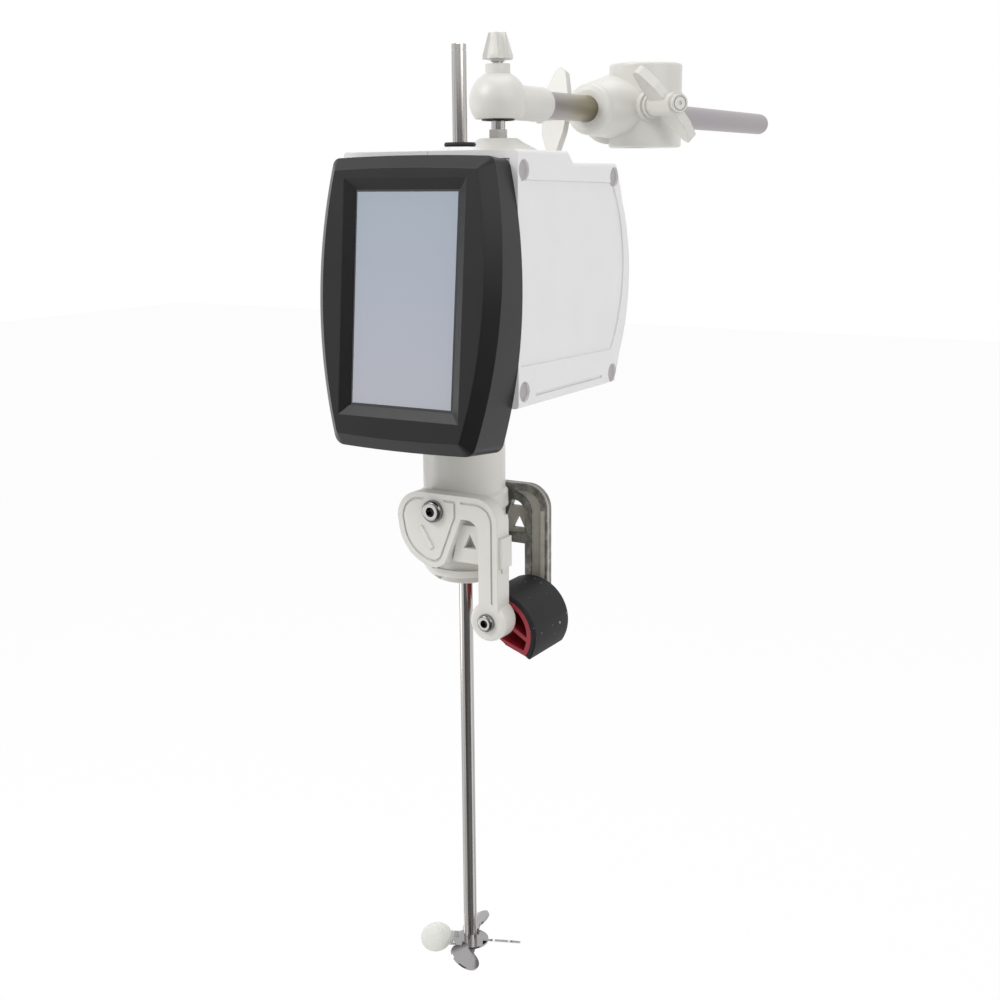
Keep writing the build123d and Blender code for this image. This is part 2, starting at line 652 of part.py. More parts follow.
def make_motor_pinion():
    """Small gear on the motor shaft, with a tooth facing the large gear at -Y."""
    pinion = gear(PINION_TEETH, -90, GEAR_T)
    pinion -= Pos(0, 0, -1) * extrude(Circle(MOTOR_SHAFT_R), GEAR_T + 2)
    return Pos(0, MOTOR_Y + TOOTH_PLAY, GEAR_Z) * pinion


def make_motor_shaft():
    return z_bar(MOTOR_SHAFT_R, MID_PLATE_Z - MOTOR_H - 3, GEAR_Z + GEAR_T + 4, 0, MOTOR_Y + TOOTH_PLAY)


def make_drive_motor():
    y = MOTOR_Y + TOOTH_PLAY
    can = z_bar(MOTOR_R, MID_PLATE_Z - MOTOR_H, MID_PLATE_Z, 0, y)
    can = fillet(can.edges().group_by(Axis.Z)[0], 3)
    bore = z_bar(MOTOR_SHAFT_R + RUN, MID_PLATE_Z - MOTOR_H - 1, MID_PLATE_Z + 1, 0, y)
    return can - bore


def make_drive_board():
    """Power board that stands on the frame's floor behind the motor."""
    y = COVER_SCREW_REAR_Y - 3
    board = block(-34, 34, y, y + BOARD_T, FLOOR_Z + PLATE_T, MID_PLATE_Z - 12)
    for x in (-22, 22):
        board += z_bar(4, FLOOR_Z + PLATE_T + 3, FLOOR_Z + PLATE_T + 13, x, y + BOARD_T + 3.8)
    return board


def bearing(bottom):
    ring = z_bar(BEARING_R, bottom, bottom + BEARING_T) - z_bar(SPINDLE_R + RUN, bottom - 1, bottom + BEARING_T + 1)
    groove = z_bar(BEARING_R - 3, bottom + BEARING_T - 0.8, bottom + BEARING_T)
    groove -= z_bar(SPINDLE_R + 2.5, bottom, bottom + BEARING_T + 1)
    return ring - groove


LOWER_BEARING_Z = NECK_BOTTOM + 10


def make_hollow_spindle():
    top = HOUSING_TOP - 0.4
    spindle = z_bar(SPINDLE_R, CHUCK_BODY_TOP - 12, top)
    return spindle - z_bar(SPINDLE_BORE_R, CHUCK_BODY_TOP - 13, top + 1)


def make_top_seal():
    """Rubber ring on the shaft boss."""
    low = HOUSING_TOP + SHAFT_BOSS_H
    bore = SHAFT_R + 0.4
    return turned([(bore, low), (SEAL_R - 0.6, low), (SEAL_R, low + SEAL_T / 2), (SEAL_R - 0.6, low + SEAL_T),
                   (bore, low + SEAL_T)])


# ================================================================ neck and chuck
def make_neck():
    """Cast neck under the head: tapered tube with the bearing seat, the pivot bosses and a bead."""
    top = FLOOR_Z + PLATE_T
    outside = turned([(0, top), (NECK_R, top), (NECK_R, NECK_BOTTOM + BEAD_H + 2), (BEAD_R, NECK_BOTTOM + BEAD_H),
                      (BEAD_R, NECK_BOTTOM + 1), (BEAD_R - 1, NECK_BOTTOM), (0, NECK_BOTTOM)])
    bore = z_bar(SPINDLE_R + 3, NECK_BOTTOM - 1, top + 1)
    seat = z_bar(BEARING_R, LOWER_BEARING_Z, top + 1)
    neck = outside - bore - seat
    neck -= rod_solid(PIVOT_BOLT_R, (0, -40, PIVOT_Z), (0, -15, PIVOT_Z))
    neck -= rod_solid(PIVOT_BOLT_R, (0, 15, PIVOT_Z), (0, 40, PIVOT_Z))
    return neck - flanks()


def make_chuck_housing():
    """Sleeve under the neck that shields the chuck; the release collar slides on its lower end."""
    step = CHUCK_HOUSING_BOTTOM + CHUCK_STEP
    inner = CHUCK_BODY_R + 2
    sleeve = turned([(inner, NECK_BOTTOM), (NECK_R, NECK_BOTTOM), (NECK_R, step), (NECK_R - COLLAR_WALL, step),
                     (NECK_R - COLLAR_WALL, CHUCK_HOUSING_BOTTOM), (inner, CHUCK_HOUSING_BOTTOM)])
    return sleeve - flanks()


def make_release_collar():
    """Shallow bowl below the cam plates, with a stepped recess at its front."""
    top = CHUCK_HOUSING_BOTTOM + CHUCK_STEP - COLLAR_LIFT - FREE
    inner_r = NECK_R - COLLAR_WALL + FREE
    shoulder = CHUCK_HOUSING_BOTTOM - COLLAR_LIFT - FREE
    floor = COLLAR_BOTTOM + COLLAR_WALL
    outer = Curve() + [
        Line((inner_r, top), (NECK_R, top)),
        Line((NECK_R, top), (COLLAR_R, top - 3)),
        Line((COLLAR_R, top - 3), (COLLAR_R, shoulder - 1)),
        ThreePointArc((COLLAR_R, shoulder - 1), (COLLAR_R - 5, (shoulder + 2 * COLLAR_BOTTOM) / 3),
                      (COLLAR_MOUTH_R, COLLAR_BOTTOM)),
        Line((COLLAR_MOUTH_R, COLLAR_BOTTOM), (COLLAR_MOUTH_R, floor)),
        Line((COLLAR_MOUTH_R, floor), (CHUCK_NUT_R + 1, floor)),
        Line((CHUCK_NUT_R + 1, floor), (inner_r, shoulder)),
        Line((inner_r, shoulder), (inner_r, top)),
    ]
    collar = revolve(make_face(Plane.XZ * outer), Axis.Z)
    front_right = block(-COLLAR_RECESS_LEFT, 2 * COLLAR_R, -2 * COLLAR_R, 0, COLLAR_BOTTOM - 1, top)
    recess = ring(inner_r + 1.5, 2 * COLLAR_R, shoulder - 1.7, shoulder + 3.8) & front_right
    rib_x = -COLLAR_RECESS_LEFT + 2
    recess -= block(rib_x, rib_x + COLLAR_RIB, -2 * COLLAR_R, 0, COLLAR_BOTTOM, top)
    under_rim = ring(inner_r - 4.2, 2 * COLLAR_R, COLLAR_BOTTOM - 1, COLLAR_BOTTOM + 6) & front_right
    return collar - recess - under_rim - flanks()


def ring(inner_r, outer_r, bottom, top):
    return z_bar(outer_r, bottom, top) - z_bar(inner_r, bottom - 1, top + 1)


def make_chuck_body():
    """Chuck body clamped on the spindle's lower end, with a taper for the collet."""
    outside = turned([(SPINDLE_R, CHUCK_BODY_TOP), (CHUCK_BODY_R - 2, CHUCK_BODY_TOP), (CHUCK_BODY_R, CHUCK_BODY_TOP - 2),
                      (CHUCK_BODY_R, CHUCK_BODY_BOTTOM + 8), (CHUCK_NUT_R - 2.5, CHUCK_BODY_BOTTOM + 8),
                      (CHUCK_NUT_R - 2.5, CHUCK_BODY_BOTTOM - 4), (COLLET_R, CHUCK_BODY_BOTTOM - 4),
                      (COLLET_R, CHUCK_BODY_TOP - 12), (SPINDLE_R, CHUCK_BODY_TOP - 12)])
    return outside


def make_collet():
    """Split collet that grips the stirring shaft."""
    top = CHUCK_BODY_TOP - 12.2
    bottom = CHUCK_NUT_BOTTOM + 5
    sleeve = z_bar(COLLET_R - RUN, bottom, top) - z_bar(SHAFT_R + RUN, bottom - 1, top + 1)
    for turn in (0, 60, 120):
        sleeve -= Rot(0, 0, turn) * block(-9, 9, -0.4, 0.4, bottom - 1, top - 6)
    return sleeve


def make_chuck_nut():
    """Union nut that draws the collet into its taper, with eight grip flutes."""
    top = CHUCK_BODY_BOTTOM + 7.7
    bore_r = CHUCK_NUT_R - 2.5 + RUN
    nut = turned([(SHAFT_R + 0.8, CHUCK_NUT_BOTTOM), (CHUCK_NUT_R - 2, CHUCK_NUT_BOTTOM),
                  (CHUCK_NUT_R, CHUCK_NUT_BOTTOM + 3), (CHUCK_NUT_R, top), (bore_r, top),
                  (bore_r, CHUCK_NUT_BOTTOM + 4.8), (SHAFT_R + 0.8, CHUCK_NUT_BOTTOM + 4.8)])
    for i in range(8):
        nut -= Rot(0, 0, i * 45) * z_bar(1.6, CHUCK_NUT_BOTTOM - 1, top - 4, CHUCK_NUT_R + 0.6, 0)
    return nut


# ================================================================ stirring shaft and propeller
def make_stirring_shaft():
    shaft = z_bar(SHAFT_R, SHAFT_BOTTOM, SHAFT_TOP)
    shaft = chamfer(shaft.edges().group_by(Axis.Z)[-1], 0.4)
    groove_z = SHAFT_TOP - SHAFT_GROOVE_BELOW
    groove = z_bar(SHAFT_R + 1, groove_z - 0.5, groove_z) - z_bar(SHAFT_R - 0.4, groove_z - 1, groove_z + 1)
    thread = z_bar(STUD_THREAD_R, SHAFT_BOTTOM - PROP_NUT_T - PETAL_T - 1.5, SHAFT_BOTTOM)
    return shaft - groove + thread


def make_propeller():
    """Sheet-metal propeller: round petals, each twisted about its arm, on a flat plate."""
    plate_top = SHAFT_BOTTOM
    plate = Pos(0, 0, plate_top - PETAL_T) * extrude(Circle(PROP_PLATE_R), PETAL_T)
    centre_r = PROP_R - PETAL_R
    petal = Pos(0, 0, -PETAL_T / 2) * extrude(Circle(PETAL_R), PETAL_T)
    stem_start = PROP_PLATE_R - 3
    stem = Pos((centre_r + stem_start) / 2, 0, 0) * Box(centre_r - stem_start, 9, PETAL_T)
    blade = Pos(centre_r, 0, 0) * petal + stem
    for i in range(PETAL_COUNT):
        turn = PROP_TURN + i * 360 / PETAL_COUNT
        plate += Pos(0, 0, plate_top - PETAL_T / 2) * Rot(0, 0, turn) * Rot(PETAL_PITCH, 0, 0) * blade
    return plate - z_bar(STUD_THREAD_R, plate_top - 10, plate_top + 5)


def make_propeller_nut():
    top = SHAFT_BOTTOM - PETAL_T
    nut = Pos(0, 0, top - PROP_NUT_T) * extrude(RegularPolygon(PROP_NUT_AF / 2 / cos(radians(30)), 6), PROP_NUT_T)
    return nut - z_bar(STUD_THREAD_R, top - PROP_NUT_T - 1, top + 1)


# ================================================================ cam lever and its grip
GRIP_DROP = AXLE_DROP + GRIP_SAG


def arm_outline(left, top):
    """Front view of a side arm about its pivot: rounded cam plate and the bent arm down to the axle."""
    right = ARM_RIGHT_X
    corner = ARM_CORNER_R
    corner_mid = corner * (1 - cos(radians(45)))
    bend = ARM_BEND_R
    bend_mid = bend * (1 - cos(radians(45)))
    low = -AXLE_DROP + AXLE_BOSS_R / 2
    under = ARM_UNDERSIDE
    tip = (0, -1.40 * CAM_R)
    hip = (-CAM_R, -0.39 * CAM_R)
    crown = (-0.39 * CAM_R, top)
    heel = (0.34 * CAM_R, -1.16 * CAM_R)
    elbow = (0.75 * CAM_R, under)
    outline = Curve() + [
        ThreePointArc(tip, (-0.73 * CAM_R, -1.03 * CAM_R), hip),
        ThreePointArc(hip, (-0.87 * CAM_R, 0.21 * CAM_R), crown),
        Line(crown, (right - corner, top)),
        ThreePointArc((right - corner, top), (right - corner_mid, top - corner_mid), (right, top - corner)),
        Line((right, top - corner), (right, low)),
        Line((right, low), (left, low)),
        Line((left, low), (left, under - bend)),
        ThreePointArc((left, under - bend), (left - bend_mid, under - bend_mid), (left - bend, under)),
        Line((left - bend, under), elbow),
        Line(elbow, heel),
        ThreePointArc(heel, (0.20 * CAM_R, -1.32 * CAM_R), tip),
    ]
    return make_face(outline)


def front_view(face, y0, y1):
    """Extrude a drawing of the X-Z plane, placed at the pivot, from y0 back to y1."""
    plane = Plane(origin=(0, y0, PIVOT_Z), x_dir=(1, 0, 0), z_dir=(0, -1, 0))
    return extrude(plane * face, -(y1 - y0))


def line_inside(face, inset, width):
    """Closed band of a width that runs inside a face's outline."""
    return offset(face, -inset, kind=Kind.ARC) - offset(face, -inset - width, kind=Kind.ARC)


def arm_grooves(outline, left):
    """Groove round the cam plate and the one that follows the bent arm's outer side."""
    axle = Pos(AXLE_X, -AXLE_DROP)
    split = 0.75 * CAM_R
    far = 2 * AXLE_DROP
    cam = outline & Polygon((-far, -far), (-far, far), (split, far), (split, -far), align=None)
    left_of_line = left + GROOVE_INSET + GROOVE_W + 1.5
    above_line = ARM_UNDERSIDE + GROOVE_INSET + GROOVE_W + 1.5
    bent = Polygon((split, above_line), (left_of_line, above_line), (left_of_line, -far), (far, -far), (far, far),
                   (split, far), align=None)
    follow = line_inside(outline, GROOVE_INSET, GROOVE_W) & bent
    return line_inside(cam, GROOVE_INSET, GROOVE_W) + follow - axle * Circle(AXLE_BOSS_R)


def arm_web():
    """Thin wall in the arm's bend with a three-cornered window, and the bar along its lower edge."""
    low = -WEB_DROP
    wall_left = 0.6 * CAM_R
    wall_right = ARM_RIGHT_X - ARM_CORNER_R / 2
    wall = Polygon((wall_left, ARM_UNDERSIDE - 4), (wall_right, ARM_UNDERSIDE - 4), (wall_right, low),
                   (0.4 * CAM_R, low), align=None)
    peak = (0.89 * CAM_R, ARM_UNDERSIDE - 9)
    window = Polygon(peak, (peak[0] - 4, peak[1] - 8), (peak[0] + 4, peak[1] - 8), align=None)
    bar = Polygon((0.4 * CAM_R, low), (wall_right, low), (wall_right, low + WEB_BAR_H), (0.5 * CAM_R, low + WEB_BAR_H),
                  align=None)
    return wall - window, bar


def make_cam_arm(thickness, left, top, bent_inner):
    """Front side arm of the lever: cam plate, bent arm with a channel inside, axle boss and web."""
    inner = -ARM_INNER_Y
    outer = inner - thickness
    axle = Pos(AXLE_X, -AXLE_DROP)
    outline = arm_outline(left, top)
    arm = front_view(outline, outer, inner)
    bent_zone = Polygon((left, 0), (ARM_RIGHT_X, 0), (ARM_RIGHT_X, -AXLE_DROP), (left, -AXLE_DROP), align=None)
    if bent_inner > inner:
        arm += front_view(outline & bent_zone, outer, bent_inner)
    boss = front_view(axle * Circle(AXLE_BOSS_R), outer, -LEVER_GAP_Y)
    boss = fillet(boss.edges().group_by(Axis.Y)[0], AXLE_BOSS_EDGE)
    arm += boss
    arm -= front_view(arm_grooves(outline, left), outer, outer + GROOVE_DEPTH)
    wall, bar = arm_web()
    arm += front_view(wall, inner - WEB_T, inner) + front_view(bar, inner - 2 * WEB_T, inner)
    channel_zone = Polygon((0.86 * CAM_R, top), (ARM_RIGHT_X, top), (ARM_RIGHT_X, -AXLE_DROP), (left, -AXLE_DROP),
                           (left, ARM_UNDERSIDE - ARM_BEND_R), (0.86 * CAM_R, ARM_UNDERSIDE), align=None)
    channel = offset(outline, -CHANNEL_RIM, kind=Kind.ARC) & channel_zone
    arm -= front_view(channel - axle * Circle(AXLE_BOSS_R), inner - CHANNEL_DEPTH, 0)
    rib = Pos(-0.22 * CAM_R, -0.67 * CAM_R) * Rot(0, 0, 32) * Rectangle(CAM_RIB_W, 0.6 * CAM_R)
    arm += front_view(rib, outer - CAM_RIB_H, outer)
    arm += front_view(Circle(PIVOT_HUB_R), outer, inner)
    arm -= front_view(Circle(PIVOT_BOLT_R + BUSH_WALL), outer - 5, 0)
    arm -= front_view(axle * Circle(AXLE_R), outer + AXLE_SEAT, 0)
    arm -= front_view(axle * Circle(AXLE_BOLT_R + RUN), outer - 5, 0)
    return arm


def make_pivot_bush(thickness):
    """Bronze bush on the pivot bolt, on which an arm turns."""
    ring = Circle(PIVOT_BOLT_R + BUSH_WALL - RUN) - Circle(PIVOT_BOLT_R)
    return front_view(ring, -ARM_INNER_Y - thickness - PIVOT_PLAY, -ARM_INNER_Y + FLAT_GAP)


def make_pivot_bolt(thickness):
    seat = ARM_INNER_Y + thickness + PIVOT_PLAY
    bolt = hex_socket_bolt(PIVOT_HEAD_R, PIVOT_HEAD_T, PIVOT_BOLT_R, seat - 15, 5.0)
    return Plane(origin=(0, -seat, PIVOT_Z), x_dir=(1, 0, 0), z_dir=(0, -1, 0)) * bolt


def make_axle_bolt(thickness):
    bolt = hex_socket_bolt(AXLE_HEAD_R, AXLE_HEAD_T, AXLE_BOLT_R, 14, 4.0)
    place = Plane(origin=(AXLE_X, -ARM_INNER_Y - thickness, PIVOT_Z - AXLE_DROP), x_dir=(1, 0, 0), z_dir=(0, -1, 0))
    return place * bolt


def make_grip_axle():
    z = PIVOT_Z - AXLE_DROP
    front = ARM_INNER_Y + ARM_T - AXLE_SEAT
    rear = ARM_INNER_Y + REAR_ARM_T - AXLE_SEAT
    axle = rod_solid(AXLE_R, (AXLE_X, -front, z), (AXLE_X, rear, z))
    axle -= rod_solid(AXLE_BOLT_R, (AXLE_X, -front - 1, z), (AXLE_X, -front + 10, z))
    return axle - rod_solid(AXLE_BOLT_R, (AXLE_X, rear - 10, z), (AXLE_X, rear + 1, z))


def on_grip(radius, angle):
    """Point at an angle on a circle about the centre of the grip's round back."""
    return GRIP_X + radius * cos(radians(angle)), -GRIP_DROP + radius * sin(radians(angle))


def grip_section(inset):
    """Front view of the grip's core: round back, bent underside and a straight left side."""
    radius = GRIP_R - GRIP_COVER_T - inset
    left = on_grip(GRIP_R, GRIP_END)[0] + inset
    under = -GRIP_DROP - GRIP_UNDERSIDE + inset
    edge = make_face(Polyline((left, 0), (left, under), (GRIP_X + 2, under), (GRIP_X + 32, under - GRIP_TOE),
                              (GRIP_X + 32, 0), close=True))
    section = edge & (Pos(GRIP_X, -GRIP_DROP) * Circle(radius))
    return section


def make_grip_core():
    """Moulded core of the grip: rim, cross web, hub and two ribs."""
    z = PIVOT_Z - AXLE_DROP
    body = front_view(grip_section(0), -GRIP_HALF_L, GRIP_HALF_L)
    pocket = front_view(grip_section(GRIP_WALL), -GRIP_HALF_L - 1, GRIP_HALF_L + 1)
    pocket -= front_view(grip_section(GRIP_WALL / 2), -GRIP_WEB_HALF, GRIP_WEB_HALF)
    rib_l = 2 * GRIP_R
    for turn in (-32, 62):
        rib = Pos(AXLE_X, -AXLE_DROP) * Rot(0, 0, turn) * Pos(rib_l / 2, 0) * Rectangle(rib_l, GRIP_RIB_T)
        pocket -= front_view(rib, -GRIP_HALF_L, GRIP_HALF_L)
    body -= pocket
    body += rod_solid(GRIP_HUB_R, (AXLE_X, -LEVER_GAP_Y, z), (AXLE_X, LEVER_GAP_Y, z))
    return body - rod_solid(AXLE_R, (AXLE_X, -ARM_INNER_Y, z), (AXLE_X, ARM_INNER_Y, z))


def make_grip_cover():
    """Rubber cover on the grip's round back."""
    radius = GRIP_R - GRIP_COVER_T
    middle = (GRIP_START + GRIP_END) / 2
    band = Curve() + [
        ThreePointArc(on_grip(radius, GRIP_START), on_grip(radius, middle), on_grip(radius, GRIP_END)),
        Line(on_grip(radius, GRIP_END), on_grip(GRIP_R, GRIP_END)),
        ThreePointArc(on_grip(GRIP_R, GRIP_END), on_grip(GRIP_R, middle), on_grip(GRIP_R, GRIP_START)),
        Line(on_grip(GRIP_R, GRIP_START), on_grip(radius, GRIP_START)),
    ]
    cover = front_view(make_face(band), -GRIP_HALF_L, GRIP_HALF_L)
    back = [e for e in cover.edges() if e.geom_type == GeomType.CIRCLE and e.radius > GRIP_R - 0.1]
    return fillet(back, 1.0)


def make_stop_block():
    """Small stop plate on the front arm's right edge."""
    top = PIVOT_Z + STOP_TOP
    front = -ARM_INNER_Y - ARM_T
    plate = block(ARM_RIGHT_X, ARM_RIGHT_X + STOP_T, front + 1.5, -LEVER_GAP_Y, top - STOP_H, top)
    plate += block(ARM_RIGHT_X, ARM_RIGHT_X + STOP_T / 2, front + 4, -LEVER_GAP_Y - 2, top - STOP_H - 3, top)
    return plate


def flanks():
    """Space beyond the flats on which the cam plates lie."""
    flat = ARM_INNER_Y - FLAT_GAP
    far = 2 * COLLAR_R
    front = block(-far, far, -far, -flat, COLLAR_BOTTOM - 1, NECK_BOTTOM + BEAD_H + 3)
    return front + mirrored_y(front)


# ================================================================ ball joint and support rod
BALL = (0, BALL_Y, BALL_Z)


def ball_solid(radius):
    return Pos(*BALL) * Sphere(radius)


def at_ball(shape):
    return Pos(0, BALL_Y, 0) * shape


CAVITY_R = BALL_R + 0.5
CAVITY_TOP = BALL_Z + BALL_R + 1.2


def make_ball_socket():
    """Ball housing with the rod tube at its back and the screw neck on top."""
    flat = BALL_Z - SOCKET_FLAT
    socket = ball_solid(SOCKET_R)
    socket += at_ball(z_bar(SOCKET_NECK_R, BALL_Z, SOCKET_NECK_TOP))
    socket += rod_solid(SOCKET_TUBE_R, BALL, (0, SOCKET_TUBE_END, BALL_Z))
    socket = fillet(socket.edges().filter_by_position(Axis.Y, SOCKET_TUBE_END - 0.1, SOCKET_TUBE_END + 0.1), 1.0)
    socket -= block(-40, 40, 0, 90, flat - 40, flat)
    socket -= at_ball(z_bar(CAVITY_R, flat - 1, CAVITY_TOP))
    socket -= at_ball(z_bar(KNOB_SCREW_R + RUN, BALL_Z, SOCKET_NECK_TOP + 1))
    socket -= rod_solid(ROD_R, (0, ROD_START, BALL_Z), (0, SOCKET_TUBE_END + 1, BALL_Z))
    socket -= rod_solid(2.0, (0, SOCKET_TUBE_END - 12, BALL_Z - 20), (0, SOCKET_TUBE_END - 12, BALL_Z))
    return socket


def make_seat_ring():
    """Screwed ring that carries the ball from below and leaves the stud room to tilt."""
    flat = BALL_Z - SOCKET_FLAT
    mouth = SEAT_MOUTH_R
    ring = at_ball(turned([(mouth + 2.0, flat), (CAVITY_R, flat), (CAVITY_R, flat + 6), (mouth, flat + 6),
                           (mouth - 0.4, flat + 3)]))
    return ring - ball_solid(BALL_R + FREE)


def make_ball_pad():
    """Nylon pad between the knob's screw and the ball."""
    pad = at_ball(z_bar(CAVITY_R - FREE, BALL_Z + 1, CAVITY_TOP - RUN))
    return pad - ball_solid(BALL_R + FREE)


def make_ball_stud():
    """Ball with its shank and the thread that runs down into the frame."""
    stud = ball_solid(BALL_R)
    stud += at_ball(z_bar(STUD_R, STUD_NUT_TOP, BALL_Z))
    stud += at_ball(z_bar(STUD_THREAD_R, TOP_PLATE_Z, STUD_NUT_TOP + 1))
    return stud


def make_stud_nut():
    nut = Pos(0, 0, BASE_TOP) * extrude(RegularPolygon(STUD_NUT_AF / 2 / cos(radians(30)), 6), STUD_NUT_TOP - BASE_TOP)
    nut -= z_bar(STUD_THREAD_R, BASE_TOP - 1, STUD_NUT_TOP + 1)
    return at_ball(nut)


def make_stud_base():
    """Low cone on the housing's top that spreads the stud's load into the frame."""
    foot_r = BASE_TOP_R - SEAT
    low = HOUSING_REAR_TOP
    cone = turned([(0, low), (BASE_BOTTOM_R, low), (BASE_BOTTOM_R, low + 5), (BASE_TOP_R + 3, BASE_TOP - 2),
                   (BASE_TOP_R, BASE_TOP), (0, BASE_TOP)])
    foot = z_bar(foot_r, HOUSING_REAR_TOP - HOUSING_WALL - FREE, low + 1)
    base = at_ball(cone + foot)
    step_end = HOUSING_STEP_Y + HOUSING_STEP_RUN
    rear_of_step = make_face(Polyline((HOUSING_STEP_Y - 60, HOUSING_TOP), (HOUSING_STEP_Y, HOUSING_TOP),
                                      (step_end, HOUSING_REAR_TOP), (step_end, HOUSING_REAR_TOP - 20),
                                      (HOUSING_STEP_Y - 60, HOUSING_REAR_TOP - 20), close=True))
    keep = at_ball(z_bar(foot_r, HOUSING_REAR_TOP - HOUSING_WALL - FREE, HOUSING_TOP + 1))
    base = base - along_x(rear_of_step, -60, 60) + (keep & base)
    return base - at_ball(z_bar(STUD_THREAD_R, 0, BASE_TOP + 1))


def make_clamp_knob():
    """Star knob that clamps the ball: its grooves follow the taper of its sides."""
    blank = turned([(0, KNOB_BOTTOM), (KNOB_R, KNOB_BOTTOM), (KNOB_R, KNOB_BOTTOM + 2),
                    (KNOB_TOP_R, KNOB_TOP), (0, KNOB_TOP)])
    height = KNOB_TOP - KNOB_BOTTOM
    taper = degrees(atan2(KNOB_R - KNOB_TOP_R, height))
    groove = Pos(KNOB_R + 0.7, 0, KNOB_BOTTOM) * Rot(0, -taper, 0) * z_bar(KNOB_GROOVE_R, -3, 1.4 * height)
    for k in range(KNOB_LOBES):
        blank -= Rot(0, 0, (k + 0.5) * 360 / KNOB_LOBES) * groove
    blank += z_bar(KNOB_COLLAR_R, SOCKET_NECK_TOP + 1.3, KNOB_BOTTOM + 1)
    return at_ball(blank - z_bar(KNOB_SCREW_R, 0, KNOB_BOTTOM + 8))


def make_knob_screw():
    return at_ball(z_bar(KNOB_SCREW_R, CAVITY_TOP + 0.1, KNOB_BOTTOM + 8))


def make_support_rod():
    rod = rod_solid(ROD_R, (0, ROD_START, BALL_Z), (0, ROD_END, BALL_Z))
    rod = fillet(rod.edges().group_by(Axis.Y)[-1], ROD_R - 0.6)
    return rod


def make_socket_set_screw():
    y = SOCKET_TUBE_END - 12
    return z_bar(2.0, BALL_Z - SOCKET_TUBE_R + 0.4, BALL_Z - ROD_R, 0, y)


# ================================================================ boss-head and its wing screws
POST_CENTRE_Z = (BARREL_BOTTOM + BARREL_TOP) / 2
POST_SCREW_DIR = (cos(radians(POST_SCREW_AZ)), sin(radians(POST_SCREW_AZ)), 0)


def post_screw_plane():
    """Plane whose normal is the post screw's axis, with its origin on the post's axis."""
    return Plane(origin=(POST_X, POST_Y, POST_SCREW_Z), x_dir=(0, 0, 1), z_dir=POST_SCREW_DIR)


def rod_screw_plane():
    """Plane whose normal is the rod screw's axis, with its origin on the rod's axis."""
    return Plane(origin=(0, ROD_SCREW_Y, BALL_Z), x_dir=(0, 0, 1), z_dir=(-1, 0, 0))


def across_rod(y):
    """Plane across the rod at a distance along it; its normal points along the rod."""
    return Plane(origin=(0, y, BALL_Z), x_dir=(1, 0, 0), z_dir=(0, 1, 0))


def make_rod_boss():
    """Rounded nose round the rod that widens smoothly into the barrel."""
    nose = ROD_BOSS_NOSE
    rest = nose * (1 - cos(radians(45)))
    profile = Curve() + [
        Line((0, 0), (ROD_BOSS_FRONT_R - nose, 0)),
        ThreePointArc((ROD_BOSS_FRONT_R - nose, 0), (ROD_BOSS_FRONT_R - rest, rest), (ROD_BOSS_FRONT_R, nose)),
        Line((ROD_BOSS_FRONT_R, nose), (0, nose)),
        Line((0, nose), (0, 0)),
    ]
    boss = Pos(0, ROD_BOSS_FRONT_Y, BALL_Z) * revolve(make_face(profile), Axis.Y)
    half_w = (ROD_BOSS_REAR_R + ROD_BOSS_END_X) / 2
    middle = Pos(ROD_BOSS_END_X - half_w, BALL_Z - POST_CENTRE_Z)
    boss += loft([across_rod(ROD_BOSS_FRONT_Y + nose) * Circle(ROD_BOSS_FRONT_R),
                  across_rod(ROD_BOSS_END_Y) * middle * Ellipse(half_w, ROD_BOSS_REAR_R)])
    tail = extrude(across_rod(ROD_BOSS_END_Y) * Circle(ROD_BOSS_REAR_R), ROD_BOSS_REAR_Y - ROD_BOSS_END_Y)
    return boss + fillet(tail.edges().group_by(Axis.Y)[-1], nose)


def make_boss_head():
    """Cast boss-head: post barrel, rod boss and two screw bosses."""
    barrel = z_bar(BARREL_R, BARREL_BOTTOM, BARREL_TOP, BARREL_X, BARREL_Y)
    barrel = fillet(barrel.edges().group_by(Axis.Z)[-1], 1.8)
    barrel = chamfer(barrel.edges().group_by(Axis.Z)[0], 1.0)
    head = barrel + make_rod_boss()
    screws = ((post_screw_plane(), POST_SEAT), (rod_screw_plane(), ROD_SEAT))
    for plane, seat in screws:
        head += extrude(plane * Circle(WING_SEAT_R), seat)
        head -= extrude(plane * Pos(0, 0, seat) * Circle(WING_SEAT_R + FREE), WING_HUB_L)
    head -= z_bar(POST_BORE_R, BARREL_BOTTOM - 1, BARREL_TOP + 1, POST_X, POST_Y)
    head -= rod_solid(ROD_R + RUN, (0, ROD_BOSS_FRONT_Y - 10, BALL_Z), (0, ROD_BOSS_REAR_Y + 10, BALL_Z))
    for plane, seat in screws:
        head -= extrude(plane * Circle(CLAMP_SCREW_R + RUN), seat + 5)
    return head


def wing_profile():
    """Outline of one wing: out from the screw's axis, and along it."""
    return make_face(Polyline((0, 6), (13, 7), (WING_R - 2.5, 10.5), (WING_R, 13.5), (WING_R - 1, 17),
                              (16, 22.5), (0, 24), close=True))


